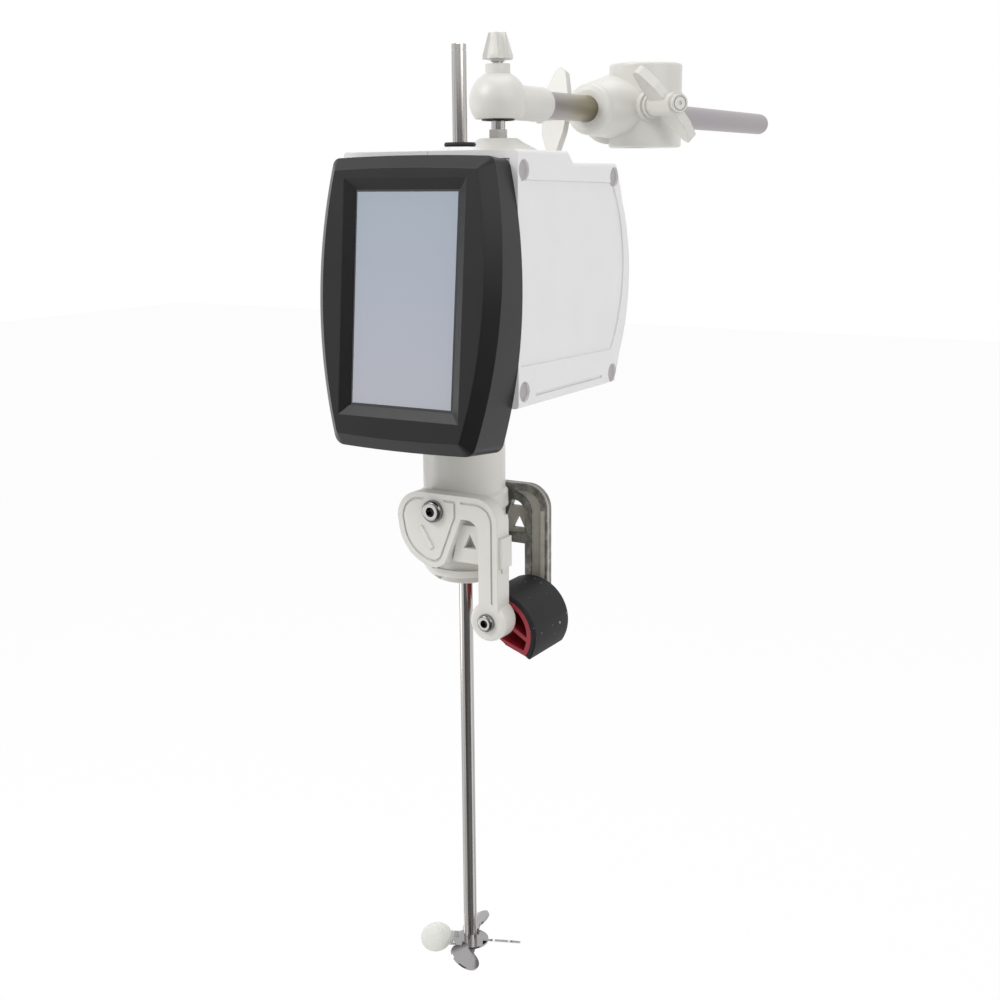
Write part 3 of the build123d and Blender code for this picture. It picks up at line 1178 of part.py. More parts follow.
def make_wing_handle(plane, seat, turn):
    """Cast wing handle: stepped collar, hub and two opposite wings."""
    collar = Pos(0, 0, seat) * extrude(Circle(WING_COLLAR_R), WING_COLLAR_T)
    second = Pos(0, 0, seat) * extrude(Circle(WING_COLLAR_R - 1.4), WING_COLLAR_T + 2.6)
    hub = Pos(0, 0, seat) * extrude(Circle(WING_HUB_R + 1.3), WING_HUB_L - 3)
    hub += Pos(0, 0, seat) * extrude(Circle(WING_HUB_R), WING_HUB_L)
    handle = collar + second + hub
    wing = extrude(Plane.XZ * wing_profile(), WING_T / 2, both=True)
    tip_edges = wing.edges().filter_by(Axis.Y).group_by(Axis.X)[1:]
    wing = fillet([edge for group in tip_edges for edge in group], 2.0)
    for half in (0, 180):
        handle += Rot(0, 0, turn + half) * Pos(0, 0, seat) * wing
    dimple = Pos(0, 0, seat + WING_HUB_L - 0.8)
    handle -= dimple * extrude(Circle(WING_HUB_R - 1) - Circle(WING_HUB_R - 1.7), 2)
    handle -= dimple * extrude(Circle(1.2), 2)
    handle -= Pos(0, 0, seat - 1) * extrude(Circle(CLAMP_SCREW_R), 20)
    return plane * handle


def make_clamp_screw(plane, seat, tip):
    """Steel screw of a wing handle, from its tip to inside the hub."""
    return extrude(plane * Pos(0, 0, tip) * Circle(CLAMP_SCREW_R), seat + 19 - tip)


# ================================================================ all nodes
def make_parts():
    post_plane = post_screw_plane()
    rod_plane = rod_screw_plane()
    right_cover = make_right_cover()
    screws = make_cover_screws()
    caps = make_screw_caps()
    return {
        "boss_head": make_boss_head(),
        "post_wing_handle": make_wing_handle(post_plane, POST_SEAT + SCREW_GAP, POST_WING_TURN),
        "post_clamp_screw": make_clamp_screw(post_plane, POST_SEAT + SCREW_GAP, POST_BORE_R + 0.2),
        "rod_wing_handle": make_wing_handle(rod_plane, ROD_SEAT + SCREW_GAP, ROD_WING_TURN),
        "rod_clamp_screw": make_clamp_screw(rod_plane, ROD_SEAT + SCREW_GAP, ROD_R + 0.1),
        "support_rod": make_support_rod(),
        "ball_socket": make_ball_socket(),
        "socket_set_screw": make_socket_set_screw(),
        "seat_ring": make_seat_ring(),
        "ball_pad": make_ball_pad(),
        "clamp_knob": make_clamp_knob(),
        "knob_screw": make_knob_screw(),
        "ball_stud": make_ball_stud(),
        "stud_nut": make_stud_nut(),
        "stud_base": make_stud_base(),
        "front_bezel": make_front_bezel(),
        "touch_screen": make_touch_screen(),
        "control_board": make_control_board(),
        "right_cover": right_cover,
        "left_cover": mirrored_x(right_cover),
        "right_cover_screws": Compound(screws),
        "left_cover_screws": Compound([mirrored_x(s) for s in screws]),
        "right_screw_caps": Compound(caps),
        "left_screw_caps": Compound([mirrored_x(c) for c in caps]),
        "rear_cover": make_rear_cover(),
        "power_inlet": make_power_inlet(),
        "switch_frame": make_switch_frame(),
        "switch_rocker": make_switch_rocker(),
        "core_frame": make_core_frame(),
        "drive_motor": make_drive_motor(),
        "motor_shaft": make_motor_shaft(),
        "motor_pinion": make_motor_pinion(),
        "drive_board": make_drive_board(),
        "upper_bearing": bearing(TOP_PLATE_Z),
        "lower_bearing": bearing(LOWER_BEARING_Z),
        "top_seal": make_top_seal(),
        "hollow_spindle": make_hollow_spindle(),
        "spindle_gear": make_spindle_gear(),
        "neck": make_neck(),
        "chuck_housing": make_chuck_housing(),
        "release_collar": make_release_collar(),
        "chuck_body": make_chuck_body(),
        "collet": make_collet(),
        "chuck_nut": make_chuck_nut(),
        "stirring_shaft": make_stirring_shaft(),
        "propeller": make_propeller(),
        "propeller_nut": make_propeller_nut(),
        "front_cam_arm": make_cam_arm(ARM_T, ARM_LEFT_X, ARM_TOP, -LEVER_GAP_Y),
        "rear_cam_arm": mirrored_y(make_cam_arm(REAR_ARM_T, REAR_ARM_LEFT_X, REAR_ARM_TOP, -ARM_INNER_Y)),
        "pivot_bushes": Compound([make_pivot_bush(ARM_T), mirrored_y(make_pivot_bush(REAR_ARM_T))]),
        "pivot_bolts": Compound([make_pivot_bolt(ARM_T), mirrored_y(make_pivot_bolt(REAR_ARM_T))]),
        "axle_bolts": Compound([make_axle_bolt(ARM_T), mirrored_y(make_axle_bolt(REAR_ARM_T))]),
        "grip_axle": make_grip_axle(),
        "grip_core": make_grip_core(),
        "grip_cover": make_grip_cover(),
        "arm_stop": make_stop_block(),
    }


TO_POST = Pos(-POST_X, -POST_Y, -POST_CENTRE_Z)

os.makedirs("parts", exist_ok=True)
for name, shape in make_parts().items():
    export_step(TO_POST * shape, f"parts/{name}.step")
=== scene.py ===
"""Looks of the overhead stirrer: materials, small details, studio and camera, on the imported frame."""
import bpy
import json
import math
from mathutils import Matrix, Vector

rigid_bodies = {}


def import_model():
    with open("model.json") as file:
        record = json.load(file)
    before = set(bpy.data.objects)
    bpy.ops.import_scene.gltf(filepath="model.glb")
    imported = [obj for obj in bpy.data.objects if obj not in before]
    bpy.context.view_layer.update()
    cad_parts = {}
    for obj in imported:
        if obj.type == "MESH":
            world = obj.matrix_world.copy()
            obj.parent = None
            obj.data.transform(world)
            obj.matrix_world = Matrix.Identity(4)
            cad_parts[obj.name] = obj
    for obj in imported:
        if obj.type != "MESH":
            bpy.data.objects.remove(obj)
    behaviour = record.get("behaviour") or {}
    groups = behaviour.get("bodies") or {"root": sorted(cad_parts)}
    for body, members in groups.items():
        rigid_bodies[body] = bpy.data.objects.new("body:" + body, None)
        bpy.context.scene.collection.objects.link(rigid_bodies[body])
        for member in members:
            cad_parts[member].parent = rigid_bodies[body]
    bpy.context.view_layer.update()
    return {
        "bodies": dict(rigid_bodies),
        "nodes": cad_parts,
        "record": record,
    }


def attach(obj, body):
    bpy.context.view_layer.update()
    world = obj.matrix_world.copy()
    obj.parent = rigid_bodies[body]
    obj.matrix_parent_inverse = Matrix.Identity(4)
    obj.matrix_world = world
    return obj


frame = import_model()
NODES = frame["nodes"]
scene = bpy.context.scene

# Where the stirring axis meets the display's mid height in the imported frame. Lengths are in metres unless
# a name or a comment says millimetres.
AXIS_X, AXIS_Y, ZERO_Z = -0.0198, -0.1855, -0.10655

CAMERA_YAW, CAMERA_PITCH, CAMERA_ROLL = math.radians(30.14), math.radians(12.92), math.radians(-0.43)
CAMERA_PLACE_MM = (406.85, -660.52, 59.73)
CAMERA_LENS_MM, CAMERA_SENSOR_MM, CAMERA_FAR = 50.0, 36.0, 50.0


def at(x, y, z):
    """Point given in millimetres about the stirring axis at the display's mid height."""
    return Vector((AXIS_X + x / 1000, AXIS_Y + y / 1000, ZERO_Z + z / 1000))


def new_object(name, data):
    made = bpy.data.objects.new(name, data)
    scene.collection.objects.link(made)
    return made


# ------------------------------------------------------------------ camera
def make_camera():
    """Camera placed about the stirring axis and turned by yaw, pitch and roll."""
    flat = math.cos(CAMERA_PITCH)
    forward = Vector((-math.sin(CAMERA_YAW) * flat, math.cos(CAMERA_YAW) * flat, -math.sin(CAMERA_PITCH)))
    right = Vector((math.cos(CAMERA_YAW), math.sin(CAMERA_YAW), 0.0))
    up = right.cross(forward)
    turned_right = right * math.cos(CAMERA_ROLL) + up * math.sin(CAMERA_ROLL)
    turned_up = up * math.cos(CAMERA_ROLL) - right * math.sin(CAMERA_ROLL)
    data = bpy.data.cameras.new("camera")
    data.lens = CAMERA_LENS_MM
    data.sensor_width = CAMERA_SENSOR_MM
    data.clip_end = CAMERA_FAR
    cam = new_object("camera", data)
    turn = Matrix((turned_right, turned_up, -forward)).transposed().to_4x4()
    cam.matrix_world = Matrix.Translation(at(*CAMERA_PLACE_MM)) @ turn
    scene.camera = cam


# ------------------------------------------------------------------ materials
class Shader:
    """Small helper that builds one node material step by step."""

    def __init__(self, name):
        self.mat = bpy.data.materials.new(name)
        self.mat.use_nodes = True
        self.tree = self.mat.node_tree
        self.bsdf = self.tree.nodes["Principled BSDF"]
        self.coords = self.add("ShaderNodeTexCoord").outputs["Object"]
        self.normal = None

    def add(self, kind):
        return self.tree.nodes.new(kind)

    def link(self, a, b):
        self.tree.links.new(a, b)

    def feed(self, value, socket):
        """Links a socket's value, or sets a constant."""
        if isinstance(value, bpy.types.NodeSocket):
            self.link(value, socket)
        elif isinstance(value, tuple):
            socket.default_value = (*value, 1.0)
        else:
            socket.default_value = value

    def axis(self, letter):
        made = self.add("ShaderNodeSeparateXYZ")
        self.link(self.coords, made.inputs["Vector"])
        return made.outputs[letter]

    def math(self, operation, *operands):
        made = self.add("ShaderNodeMath")
        made.operation = operation
        for operand, socket in zip(operands, made.inputs):
            self.feed(operand, socket)
        return made.outputs[0]

    def share(self, value, start, end):
        """How far a value has gone from start to end, from 0 to 1."""
        made = self.add("ShaderNodeMapRange")
        made.inputs["From Min"].default_value = start
        made.inputs["From Max"].default_value = end
        self.link(value, made.inputs["Value"])
        return made.outputs["Result"]

    def remap(self, fac, low, high):
        """A factor from 0 to 1 spread between low and high."""
        made = self.add("ShaderNodeMapRange")
        made.inputs["To Min"].default_value = low
        made.inputs["To Max"].default_value = high
        self.link(fac, made.inputs["Value"])
        return made.outputs["Result"]

    def noise(self, scale, detail=3.0, stretch=None, rough=0.55):
        made = self.add("ShaderNodeTexNoise")
        made.inputs["Scale"].default_value = scale
        made.inputs["Detail"].default_value = detail
        made.inputs["Roughness"].default_value = rough
        place = self.coords
        if stretch:
            mapping = self.add("ShaderNodeMapping")
            mapping.inputs["Scale"].default_value = stretch
            self.link(place, mapping.inputs["Vector"])
            place = mapping.outputs["Vector"]
        self.link(place, made.inputs["Vector"])
        return made.outputs["Fac"]

    def ramp(self, fac, stops):
        made = self.add("ShaderNodeValToRGB")
        elements = made.color_ramp.elements
        while len(elements) < len(stops):
            elements.new(0.5)
        for element, (place, color) in zip(elements, stops):
            element.position = place
            element.color = (*color, 1.0)
        self.link(fac, made.inputs["Fac"])
        return made.outputs["Color"]

    def mix(self, fac, a, b):
        made = self.add("ShaderNodeMix")
        made.data_type = "RGBA"
        self.link(fac, made.inputs["Factor"])
        self.feed(a, made.inputs[6])
        self.feed(b, made.inputs[7])
        return made.outputs[2]

    def round_edges(self, radius):
        made = self.add("ShaderNodeBevel")
        made.samples = 4
        made.inputs["Radius"].default_value = radius
        self.normal = made.outputs["Normal"]

    def bump(self, height, distance):
        made = self.add("ShaderNodeBump")
        made.inputs["Strength"].default_value = 1.0
        made.inputs["Distance"].default_value = distance
        self.link(height, made.inputs["Height"])
        if self.normal:
            self.link(self.normal, made.inputs["Normal"])
        self.normal = made.outputs["Normal"]

    def finish(self, color, rough, **values):
        self.feed(color, self.bsdf.inputs["Base Color"])
        self.feed(rough, self.bsdf.inputs["Roughness"])
        for key, value in values.items():
            self.bsdf.inputs[key.replace("_", " ")].default_value = value
        if self.normal:
            self.link(self.normal, self.bsdf.inputs["Normal"])
        return self.mat


def tinted(color, factor):
    return tuple(min(1.0, c * factor) for c in color)


def moulded(name, color, rough, grain, depth, edge=0.0004, mottle=0.05, **values):
    """Moulded plastic or smooth paint: faint mottling, fine grain and softened edges."""
    s = Shader(name)
    s.round_edges(edge)
    broad = s.noise(38.0, 4.0)
    base = s.ramp(broad, [(0.3, tinted(color, 1 - mottle)), (0.7, tinted(color, 1 + mottle / 2))])
    s.bump(s.noise(grain, 2.0), depth)
    return s.finish(base, s.remap(broad, rough - 0.05, rough + 0.05), **values)


def cast_paint(name, color):
    """Smooth paint over a casting: slight orange peel, a little grime in broad patches."""
    s = Shader(name)
    s.round_edges(0.0006)
    broad = s.noise(24.0, 5.0)
    base = s.ramp(broad, [(0.25, tinted(color, 0.955)), (0.5, color), (0.8, tinted(color, 1.02))])
    s.bump(s.noise(420.0, 2.0), 0.00004)
    return s.finish(base, s.remap(broad, 0.30, 0.42), Coat_Weight=0.12, Coat_Roughness=0.25)


def turned_steel(name, color, rough):
    """Ground steel with fine marks that run round an upright part."""
    s = Shader(name)
    marks = s.noise(1.0, 3.0, (60, 60, 2600))
    base = s.ramp(s.noise(55.0, 4.0), [(0.3, tinted(color, 0.92)), (0.7, tinted(color, 1.05))])
    s.bump(marks, 0.000012)
    return s.finish(base, s.remap(marks, rough - 0.06, rough + 0.06), Metallic=1.0)


def drawn_steel(name, color, rough, streaks):
    """Polished bar stock with fine light and dark lines along its length."""
    s = Shader(name)
    lines = s.noise(1.0, 4.0, streaks, 0.65)
    base = s.ramp(lines, [(0.30, tinted(color, 0.55)), (0.5, color), (0.70, tinted(color, 1.45))])
    s.bump(lines, 0.00002)
    return s.finish(base, s.remap(lines, rough - 0.04, rough + 0.06), Metallic=1.0)


def tinted_steel(name, stops, start, end, rough, axis, grain):
    """Steel whose colour changes along one axis, with fine grinding marks; on the propeller that change is a
    painted highlight on the left blade.
    """
    s = Shader(name)
    tint = s.ramp(s.share(s.axis(axis), start, end), stops)
    marks = s.noise(1.0, 3.0, grain)
    s.bump(marks, 0.000012)
    return s.finish(tint, s.remap(marks, rough - 0.06, rough + 0.06), Metallic=1.0)


def socket_bolt(name, axis_x, axis_z, socket_r, head_r):
    """Socket-head bolts lying along Y: bright face, darker rim, painted shade down in the hexagon and a ring
    of painted shade in the groove round the head.
    """
    s = Shader(name)
    centred = s.add("ShaderNodeMapping")
    centred.inputs["Location"].default_value = (-axis_x, 0.0, -axis_z)
    s.link(s.coords, centred.inputs["Vector"])
    across = s.add("ShaderNodeVectorMath")
    across.operation = "MULTIPLY"
    across.inputs[1].default_value = (1.0, 0.0, 1.0)
    s.link(centred.outputs["Vector"], across.inputs[0])
    distance = s.add("ShaderNodeVectorMath")
    distance.operation = "LENGTH"
    s.link(across.outputs["Vector"], distance.inputs[0])
    edge = socket_r / head_r
    # From the axis out: near-black painted shade down in the hexagon, the bright face and its darker rim, a
    # ring of painted shade in the groove round the head, then the washer.
    socket_shade, socket_shade_edge = (0.03, 0.028, 0.025), (0.035, 0.032, 0.03)
    face, face_edge = (0.66, 0.65, 0.63), (0.52, 0.51, 0.50)
    groove_shade, washer = (0.13, 0.125, 0.12), (0.26, 0.25, 0.24)
    base = s.ramp(s.share(distance.outputs["Value"], 0.0, head_r),
                  [(0.0, socket_shade), (edge * 0.93, socket_shade_edge), (edge * 1.04, face), (0.70, face_edge),
                   (0.80, groove_shade), (1.0, washer)])
    s.bump(s.noise(900.0, 2.0), 0.00001)
    return s.finish(base, 0.20, Metallic=1.0)


def specked_rubber(name, color):
    """Matt rubber with a few pale specks of dust stuck to it."""
    s = Shader(name)
    s.round_edges(0.0004)
    base = s.ramp(s.noise(38.0, 4.0), [(0.3, tinted(color, 0.75)), (0.7, tinted(color, 1.15))])
    specks = s.ramp(s.noise(420.0, 0.0), [(0.80, (0.0, 0.0, 0.0)), (0.825, (0.5, 0.5, 0.5))])
    s.bump(s.noise(700.0, 2.0), 0.00006)
    return s.finish(s.mix(specks, base, (0.45, 0.45, 0.47)), 0.62, Specular_IOR_Level=0.3)


METAL_SHINE = 0.85


def rough_metal(name, color, rough):
    """Bare cast or machined metal with patches and scuffs."""
    s = Shader(name)
    s.round_edges(0.0003)
    patch = s.noise(120.0, 6.0)
    base = s.ramp(patch, [(0.25, tinted(color, 0.72)), (0.5, color), (0.8, tinted(color, 1.25))])
    s.bump(s.noise(900.0, 3.0), 0.00005)
    return s.finish(base, s.remap(patch, rough - 0.12, rough + 0.12), Metallic=METAL_SHINE)


# Far arm: place of its recess floor along Y with a tolerance, and the painted strip beside the recess.
RECESS_Y, RECESS_SLACK = -0.15975, 0.0005
STRIP_X, STRIP_HALF_W, STRIP_TOP_Z = 0.0179, 0.0014, -0.232


def two_tone_arm(name, bare, painted):
    """Far arm: scuffed bare metal, with old cream paint in its recess and on a strip beside it."""
    s = Shader(name)
    s.round_edges(0.0003)
    x, y, z = s.axis("X"), s.axis("Y"), s.axis("Z")
    on_floor = s.math("LESS_THAN", s.math("ABSOLUTE", s.math("SUBTRACT", y, RECESS_Y)), RECESS_SLACK)
    on_strip = s.math("COMPARE", x, STRIP_X, STRIP_HALF_W)
    for place, limit in ((z, STRIP_TOP_Z), (y, RECESS_Y)):
        on_strip = s.math("MULTIPLY", on_strip, s.math("LESS_THAN", place, limit))
    cream = s.math("MAXIMUM", on_floor, on_strip)
    patch = s.noise(190.0, 8.0, None, 0.7)
    metal = s.ramp(patch, [(0.3, tinted(bare, 0.5)), (0.5, bare), (0.72, tinted(bare, 2.0))])
    paint = s.ramp(patch, [(0.3, tinted(painted, 0.85)), (0.7, tinted(painted, 1.05))])
    s.bump(s.noise(900.0, 3.0), 0.00005)
    s.link(s.math("MULTIPLY_ADD", cream, -METAL_SHINE, METAL_SHINE), s.bsdf.inputs["Metallic"])
    return s.finish(s.mix(cream, metal, paint), s.remap(patch, 0.38, 0.58))


# Propeller: its left blade painted lighter than the other blades, a painted highlight, going to plain steel
# across the middle; then the span of X that the stops cover.
BLADE_PAINTED_HIGHLIGHT = [(0.0, (0.62, 0.63, 0.59)), (0.27, (0.58, 0.59, 0.55)), (0.36, (0.35, 0.34, 0.345)),
              (1.0, (0.37, 0.36, 0.365))]
BLADE_FROM_X, BLADE_TO_X = -0.049, 0.010
ROD_TINT = [(0.0, (0.31, 0.28, 0.30)), (0.25, (0.33, 0.30, 0.27)), (0.42, (0.31, 0.28, 0.20)),
            (0.60, (0.25, 0.22, 0.14)), (0.90, (0.35, 0.32, 0.335))]
ROD_FROM_Y, ROD_TO_Y = -0.100, 0.020
# Bolts: X and Z of the axis, radius of the socket, radius of the head.
PIVOT_BOLT = (AXIS_X, -0.2241, 0.0028, 0.0063)
AXLE_BOLT = (0.0137, -0.28355, 0.0023, 0.0050)


# Materials by slot of the record: the function that makes each, and its values.
SLOT_LOOKS = {
    "white_housing": (moulded, (0.78, 0.77, 0.775), 0.42, 1500.0, 0.000012),
    "black_bezel": (moulded, (0.009, 0.009, 0.010), 0.37, 1700.0, 0.00002),
    "screen_glass": (moulded, (0.010, 0.011, 0.014), 0.08, 600.0, 0.0),
    "grey_cap": (moulded, (0.44, 0.42, 0.42), 0.5, 1200.0, 0.00002),
    "ivory_casting": (cast_paint, (0.66, 0.65, 0.61)),
    "stainless": (drawn_steel, (0.46, 0.445, 0.43), 0.14, (900, 900, 5)),
    "rod_steel": (tinted_steel, ROD_TINT, ROD_FROM_Y, ROD_TO_Y, 0.32, "Y", (60, 2600, 60)),
    "bolt_steel": (turned_steel, (0.33, 0.32, 0.30), 0.18),
    "zinc_steel": (turned_steel, (0.52, 0.52, 0.53), 0.30),
    "black_rubber": (specked_rubber, (0.012, 0.012, 0.014)),
    "red_plastic": (moulded, (0.31, 0.018, 0.032), 0.40, 1300.0, 0.00002),
    "bare_aluminium": (two_tone_arm, (0.235, 0.23, 0.215), (0.50, 0.48, 0.42)),
    "frame_aluminium": (rough_metal, (0.50, 0.50, 0.50), 0.45),
    "bronze": (rough_metal, (0.50, 0.34, 0.16), 0.35),
    "board": (moulded, (0.02, 0.15, 0.06), 0.35, 300.0, 0.00004),
    "black_plastic": (moulded, (0.015, 0.015, 0.015), 0.32, 900.0, 0.00003),
    "nylon": (moulded, (0.72, 0.71, 0.66), 0.45, 900.0, 0.00003),
    "gear_steel": (rough_metal, (0.38, 0.38, 0.39), 0.30),
    "motor_can": (moulded, (0.03, 0.03, 0.033), 0.35, 900.0, 0.00003),
}
# Nodes that have a material of their own.
NODE_LOOKS = {
    "pivot_bolts": (socket_bolt, *PIVOT_BOLT),
    "axle_bolts": (socket_bolt, *AXLE_BOLT),
    "propeller": (tinted_steel, BLADE_PAINTED_HIGHLIGHT, BLADE_FROM_X, BLADE_TO_X, 0.17, "X", (900, 300, 300)),
}
EXTRAS = {
    "white_housing": {"mottle": 0.02},
    "black_bezel": {"mottle": 0.10, "Specular_IOR_Level": 0.3},
    "screen_glass": {"edge": 0.0001, "Coat_Weight": 0.5},
    "red_plastic": {"mottle": 0.08},
}


def built(looks):
    """Materials made from a table of looks, by name."""
    return {name: make(name, *values, **EXTRAS.get(name, {})) for name, (make, *values) in looks.items()}


def make_materials():
    """Gives every node its material, and returns the materials by slot."""
    by_slot, by_node = built(SLOT_LOOKS), built(NODE_LOOKS)
    for sub in frame["record"]["subparts"]:
        node = NODES[sub["node"]]
        material = by_node.get(sub["node"], by_slot[sub["material_slot"]])
        if not node.material_slots:
            node.data.materials.append(material)
        for place in node.material_slots:
            place.material = material
    return by_slot


# ------------------------------------------------------------------ pieces
def new_mesh(name, verts, faces):
    mesh = bpy.data.meshes.new(name)
    mesh.from_pydata([tuple(v) for v in verts], [], faces)
    mesh.update()
    return new_object(name, mesh)


def new_piece(name, verts, faces, body, material, slot):
    """Visible piece that rides on a body of the frame."""
    piece = new_mesh(name, verts, faces)
    piece.data.materials.append(material)
    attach(piece, body)


def prism(outline, near_y, far_y):
    """Corners and faces of an outline in X and Z, clockwise as seen from the front, drawn out along Y."""
    n = len(outline)
    verts = [(x, y, z) for y in (near_y, far_y) for x, z in outline]
    faces = [tuple(reversed(range(n))), tuple(range(n, 2 * n))]
    faces += [(i, (i + 1) % n, n + (i + 1) % n, n + i) for i in range(n)]
    return verts, faces


def turned(profile, x, y, turn):
    """Points of a profile of radius and height, turned about an upright axis through x and y."""
    return [(x + r * math.cos(turn), y + r * math.sin(turn), z) for r, z in profile]


# Lit area of the display, in millimetres about the stirring axis.
DISPLAY_W, DISPLAY_H, DISPLAY_Y = 62.1, 110.4, -57.6
DISPLAY_LEAN = math.radians(5.4)
DISPLAY_FACE, DISPLAY_BACK = 0.12, 0.02
# Its gradient: reach above and below the middle, in metres, and colours from the bottom up.
GRADIENT_REACH = 0.055
DISPLAY_TINT = [(0.0, (0.40, 0.41, 0.46)), (0.55, (0.36, 0.39, 0.46)), (1.0, (0.33, 0.38, 0.44))]


def on_display(x, h, proud):
    """Point on the leaning display, h millimetres up it and proud of its glass."""
    y = DISPLAY_Y + h * math.sin(DISPLAY_LEAN) - proud * math.cos(DISPLAY_LEAN)
    z = h * math.cos(DISPLAY_LEAN) + proud * math.sin(DISPLAY_LEAN)
    return at(x, y, z)


def make_display_area():
    """Lit area of the display: pale, with a soft gradient up it and a satin face."""
    s = Shader("display_area")
    tint = s.ramp(s.share(s.axis("Z"), ZERO_Z - GRADIENT_REACH, ZERO_Z + GRADIENT_REACH), DISPLAY_TINT)
    s.bump(s.noise(2500.0, 1.0), 0.000004)
    material = s.finish(tint, 0.22, Coat_Weight=0.25, Coat_Roughness=0.05)
    half_w, half_h = DISPLAY_W / 2, DISPLAY_H / 2
    corners = [(-half_w, -half_h), (half_w, -half_h), (half_w, half_h), (-half_w, half_h)]
    verts = [on_display(x, h, proud) for proud in (DISPLAY_BACK, DISPLAY_FACE) for x, h in corners]
    faces = [(4, 5, 6, 7), (0, 1, 5, 4), (1, 2, 6, 5), (2, 3, 7, 6), (3, 0, 4, 7)]
    new_piece("display_area", verts, faces, "head", material, "screen_glass")


# Ring under the ball socket: a small profile of radius and height, turned about the ball's upright axis.
LIP_Y, LIP_LOW, LIP_HIGH = -0.1442, -0.0135, -0.0124
LIP_OUTER, LIP_INNER, LIP_CHAMFER, LIP_STEPS = 0.0094, 0.0080, 0.0003, 64


def make_seat_lip():
    """Lip of the ring that holds the ball, just proud of the flat under the socket; its near-black colour is
    painted shade under the ball's skirt.
    """
    s = Shader("seat_lip")
    # Near-black with faint mottling: painted shade in the opening under the ball's skirt.
    shade = s.ramp(s.noise(500.0, 3.0), [(0.3, (0.02, 0.02, 0.018)), (0.7, (0.07, 0.065, 0.06))])
    material = s.finish(shade, 0.35, Metallic=0.8)
    profile = ((LIP_INNER, LIP_HIGH), (LIP_INNER, LIP_LOW), (LIP_OUTER - LIP_CHAMFER, LIP_LOW),
               (LIP_OUTER, LIP_LOW + LIP_CHAMFER), (LIP_OUTER, LIP_HIGH))
    count, total = len(profile), len(profile) * LIP_STEPS
    verts, faces = [], []
    for i in range(LIP_STEPS):
        verts += turned(profile, AXIS_X, LIP_Y, 2 * math.pi * i / LIP_STEPS)
        here, after = count * i, count * (i + 1)
        for k in range(count):
            beyond = (k + 1) % count
            faces.append((here + k, here + beyond, (after + beyond) % total, (after + k) % total))
    new_piece("seat_lip", verts, faces, "rod", material, "zinc_steel")


# Back plate of the bezel: half widths and heights down its right edge, in millimetres.
BACK_HALF_OUTLINE = [(49.4, -150.0), (47.5, -160.0), (46.4, -165.0), (45.2, -170.0), (44.2, -174.0),
                     (42.7, -180.0), (41.0, -183.0), (37.5, -185.2), (33.0, -185.9)]
BACK_FRONT_Y, BACK_REAR_Y = -0.2198, -0.2187


def make_bezel_back(material):
    """Plate that closes the hollow back of the bezel where it hangs below the housing."""
    right = [(AXIS_X + w / 1000, z / 1000) for w, z in BACK_HALF_OUTLINE]
    left = [(AXIS_X - w / 1000, z / 1000) for w, z in reversed(BACK_HALF_OUTLINE)]
    new_piece("bezel_back", *prism(right + left, BACK_FRONT_Y, BACK_REAR_Y), "head", material, "black_bezel")


# What is cut off the grip beside and below its axle: corners in X and Z, and reach in Y.
GRIP_CUT = [(-0.020, -0.262), (0.0047, -0.262), (0.0047, -0.2905), (0.0176, -0.2990), (0.0176, -0.330),
            (-0.020, -0.330)]
GRIP_CUT_NEAR_Y, GRIP_CUT_FAR_Y, WELD_REACH = -0.215, -0.155, 1e-6


def trim_grip():
    """Shortens the left end of the grip: upright beside the axle, slanting back below it."""
    cutter = new_mesh("grip_cutter", *prism(GRIP_CUT, GRIP_CUT_NEAR_Y, GRIP_CUT_FAR_Y))
    cutter.parent = frame["bodies"]["lever"]
    cutter.hide_render = True
    for name in ("grip_core", "grip_cover"):
        weld = NODES[name].modifiers.new("weld", "WELD")
        weld.merge_threshold = WELD_REACH
        cut = NODES[name].modifiers.new("cut", "BOOLEAN")
        cut.operation = "DIFFERENCE"
        cut.solver = "EXACT"
        cut.object = cutter


# ------------------------------------------------------------------ studio
FLOOR_SIZE, FLOOR_LEVEL, FLOOR_GLOW, FLOOR_GREY, FLOOR_ROUGH = 6.0, -0.80, 0.95, 0.97, 0.8
AMBIENT_STRENGTH = 0.50
# Dark card: a profile of radius and height, swept about the stirring axis between two bearings in degrees.
CARD_PROFILE = ((0.30, FLOOR_LEVEL + 0.01), (1.35, FLOOR_LEVEL + 0.01), (1.35, 0.08))
CARD_FROM, CARD_TO, CARD_STEPS, CARD_GREY = -100, 2, 16, 0.16


def seen_directly(tree):
    """Factor that is 1 for camera, glossy and transmission rays."""
    path = tree.nodes.new("ShaderNodeLightPath")
    factor = path.outputs["Is Camera Ray"]
    for ray in ("Is Glossy Ray", "Is Transmission Ray"):
        either = tree.nodes.new("ShaderNodeMath")
        either.operation = "MAXIMUM"
        tree.links.new(factor, either.inputs[0])
        tree.links.new(path.outputs[ray], either.inputs[1])
        factor = either.outputs[0]
    return factor


def blend(tree, factor, plain, seen, surface):
    """Mixes two shaders into a surface, plain where the factor is 0."""
    mix = tree.nodes.new("ShaderNodeMixShader")
    tree.links.new(factor, mix.inputs["Fac"])
    tree.links.new(plain.outputs[0], mix.inputs[1])
    tree.links.new(seen.outputs[0], mix.inputs[2])
    tree.links.new(mix.outputs[0], surface)


def make_world():
    """Soft even light, with white seen behind everything."""
    world = bpy.data.worlds.new("studio")
    scene.world = world
    world.use_nodes = True
    tree = world.node_tree
    ambient = tree.nodes["Background"]
    ambient.inputs["Color"].default_value = (1.0, 1.0, 1.0, 1.0)
    ambient.inputs["Strength"].default_value = AMBIENT_STRENGTH
    seen = tree.nodes.new("ShaderNodeBackground")
    seen.inputs["Color"].default_value = (1.0, 1.0, 1.0, 1.0)
    seen.inputs["Strength"].default_value = 1.0
    blend(tree, seen_directly(tree), ambient, seen, tree.nodes["World Output"].inputs["Surface"])


def staged(name, verts, faces):
    """Object of the studio with a material of its own; returns the material's nodes."""
    obj = new_mesh(name, verts, faces)
    material = bpy.data.materials.new(name)
    material.use_nodes = True
    obj.data.materials.append(material)
    return material.node_tree


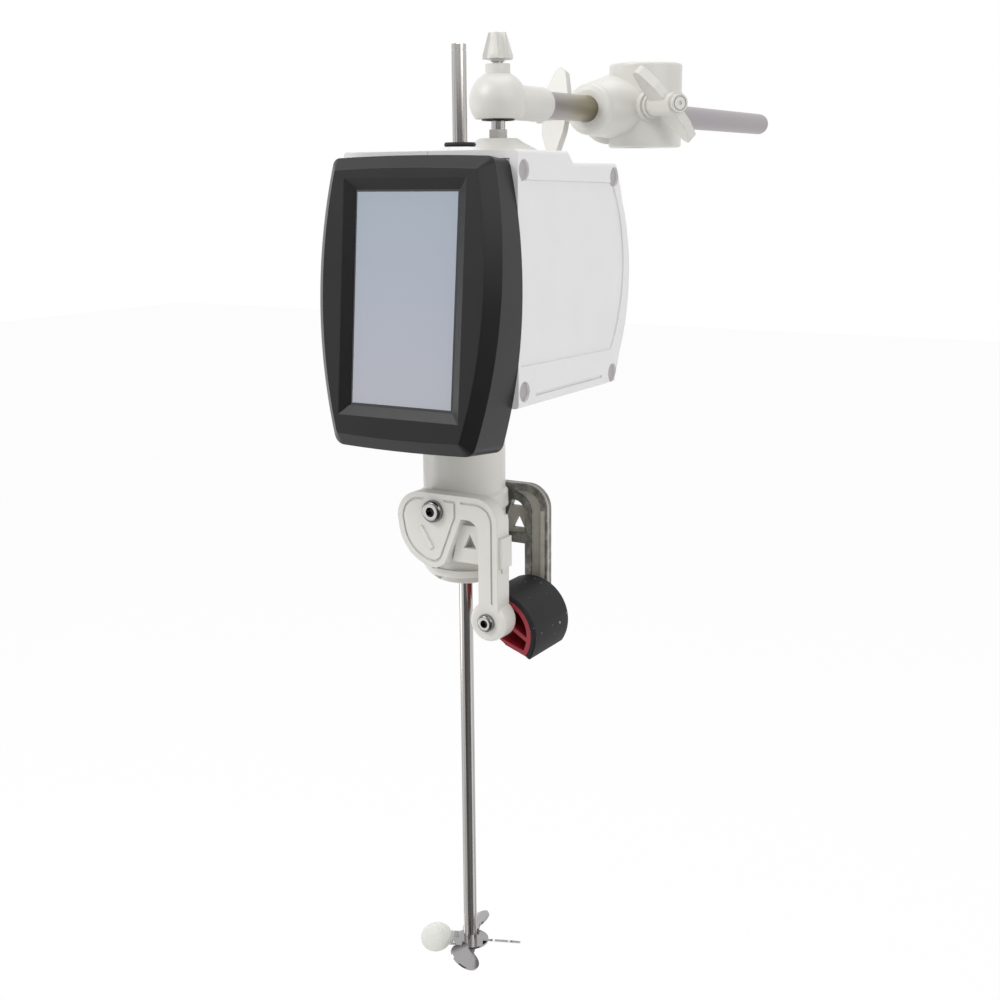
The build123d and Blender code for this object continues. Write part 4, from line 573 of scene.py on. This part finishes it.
def make_floor():
    """Pale floor: nearly white to the camera and in reflections, with the object's shadow kept."""
    size, z = FLOOR_SIZE, FLOOR_LEVEL
    corners = [(-size, -size, z), (size, -size, z), (size, size, z), (-size, size, z)]
    tree = staged("floor", corners, [(0, 1, 2, 3)])
    paper = tree.nodes["Principled BSDF"]
    paper.inputs["Base Color"].default_value = (FLOOR_GREY, FLOOR_GREY, FLOOR_GREY, 1.0)
    paper.inputs["Roughness"].default_value = FLOOR_ROUGH
    glow = tree.nodes.new("ShaderNodeEmission")
    glow.inputs["Strength"].default_value = 1.0
    weight = tree.nodes.new("ShaderNodeMath")
    weight.operation = "MULTIPLY"
    weight.inputs[1].default_value = FLOOR_GLOW
    tree.links.new(seen_directly(tree), weight.inputs[0])
    blend(tree, weight.outputs[0], paper, glow, tree.nodes["Material Output"].inputs["Surface"])


def make_dark_card():
    """Dark card on the floor and behind the camera, seen by glossy rays alone: dark bands on round steel."""
    verts, faces, count = [], [], len(CARD_PROFILE)
    for i in range(CARD_STEPS + 1):
        turn = math.radians(CARD_FROM + (CARD_TO - CARD_FROM) * i / CARD_STEPS)
        verts += turned(CARD_PROFILE, AXIS_X, AXIS_Y, turn)
    for first in range(0, count * CARD_STEPS, count):
        faces += [(a, a + 1, a + count + 1, a + count) for a in range(first, first + count - 1)]
    tree = staged("dark_card", verts, faces)
    dark = tree.nodes["Principled BSDF"]
    dark.inputs["Base Color"].default_value = (CARD_GREY, CARD_GREY, CARD_GREY, 1.0)
    clear = tree.nodes.new("ShaderNodeBsdfTransparent")
    path = tree.nodes.new("ShaderNodeLightPath")
    blend(tree, path.outputs["Is Glossy Ray"], clear, dark, tree.nodes["Material Output"].inputs["Surface"])


# Lamps: name, place from the middle of the object, width and height, watts.
LAMPS = [
    ("key", (-0.9, -1.3, 1.3), (1.0, 1.0), 19.5),
    ("fill", (1.8, -0.5, 0.5), (1.2, 1.6), 11.0),
    ("left", (-1.3, -0.5, -0.35), (0.7, 1.0), 4.5),
    ("top", (0.1, 0.3, 1.7), (1.4, 1.4), 11.0),
]
LAMP_TARGET_MM = (0, 40, -60)


def make_lights():
    middle = at(*LAMP_TARGET_MM)
    for name, offset, size, watts in LAMPS:
        data = bpy.data.lights.new(name, "AREA")
        data.shape = "RECTANGLE"
        data.size, data.size_y = size
        data.energy = watts
        lamp = new_object(name, data)
        lamp.location = middle + Vector(offset)
        lamp.rotation_euler = (middle - lamp.location).to_track_quat("-Z", "Y").to_euler()


make_camera()
materials = make_materials()
make_display_area()
make_seat_lip()
make_bezel_back(materials["black_bezel"])
trim_grip()
make_world()
make_floor()
make_dark_card()
make_lights()

scene.view_settings.view_transform = "Standard"
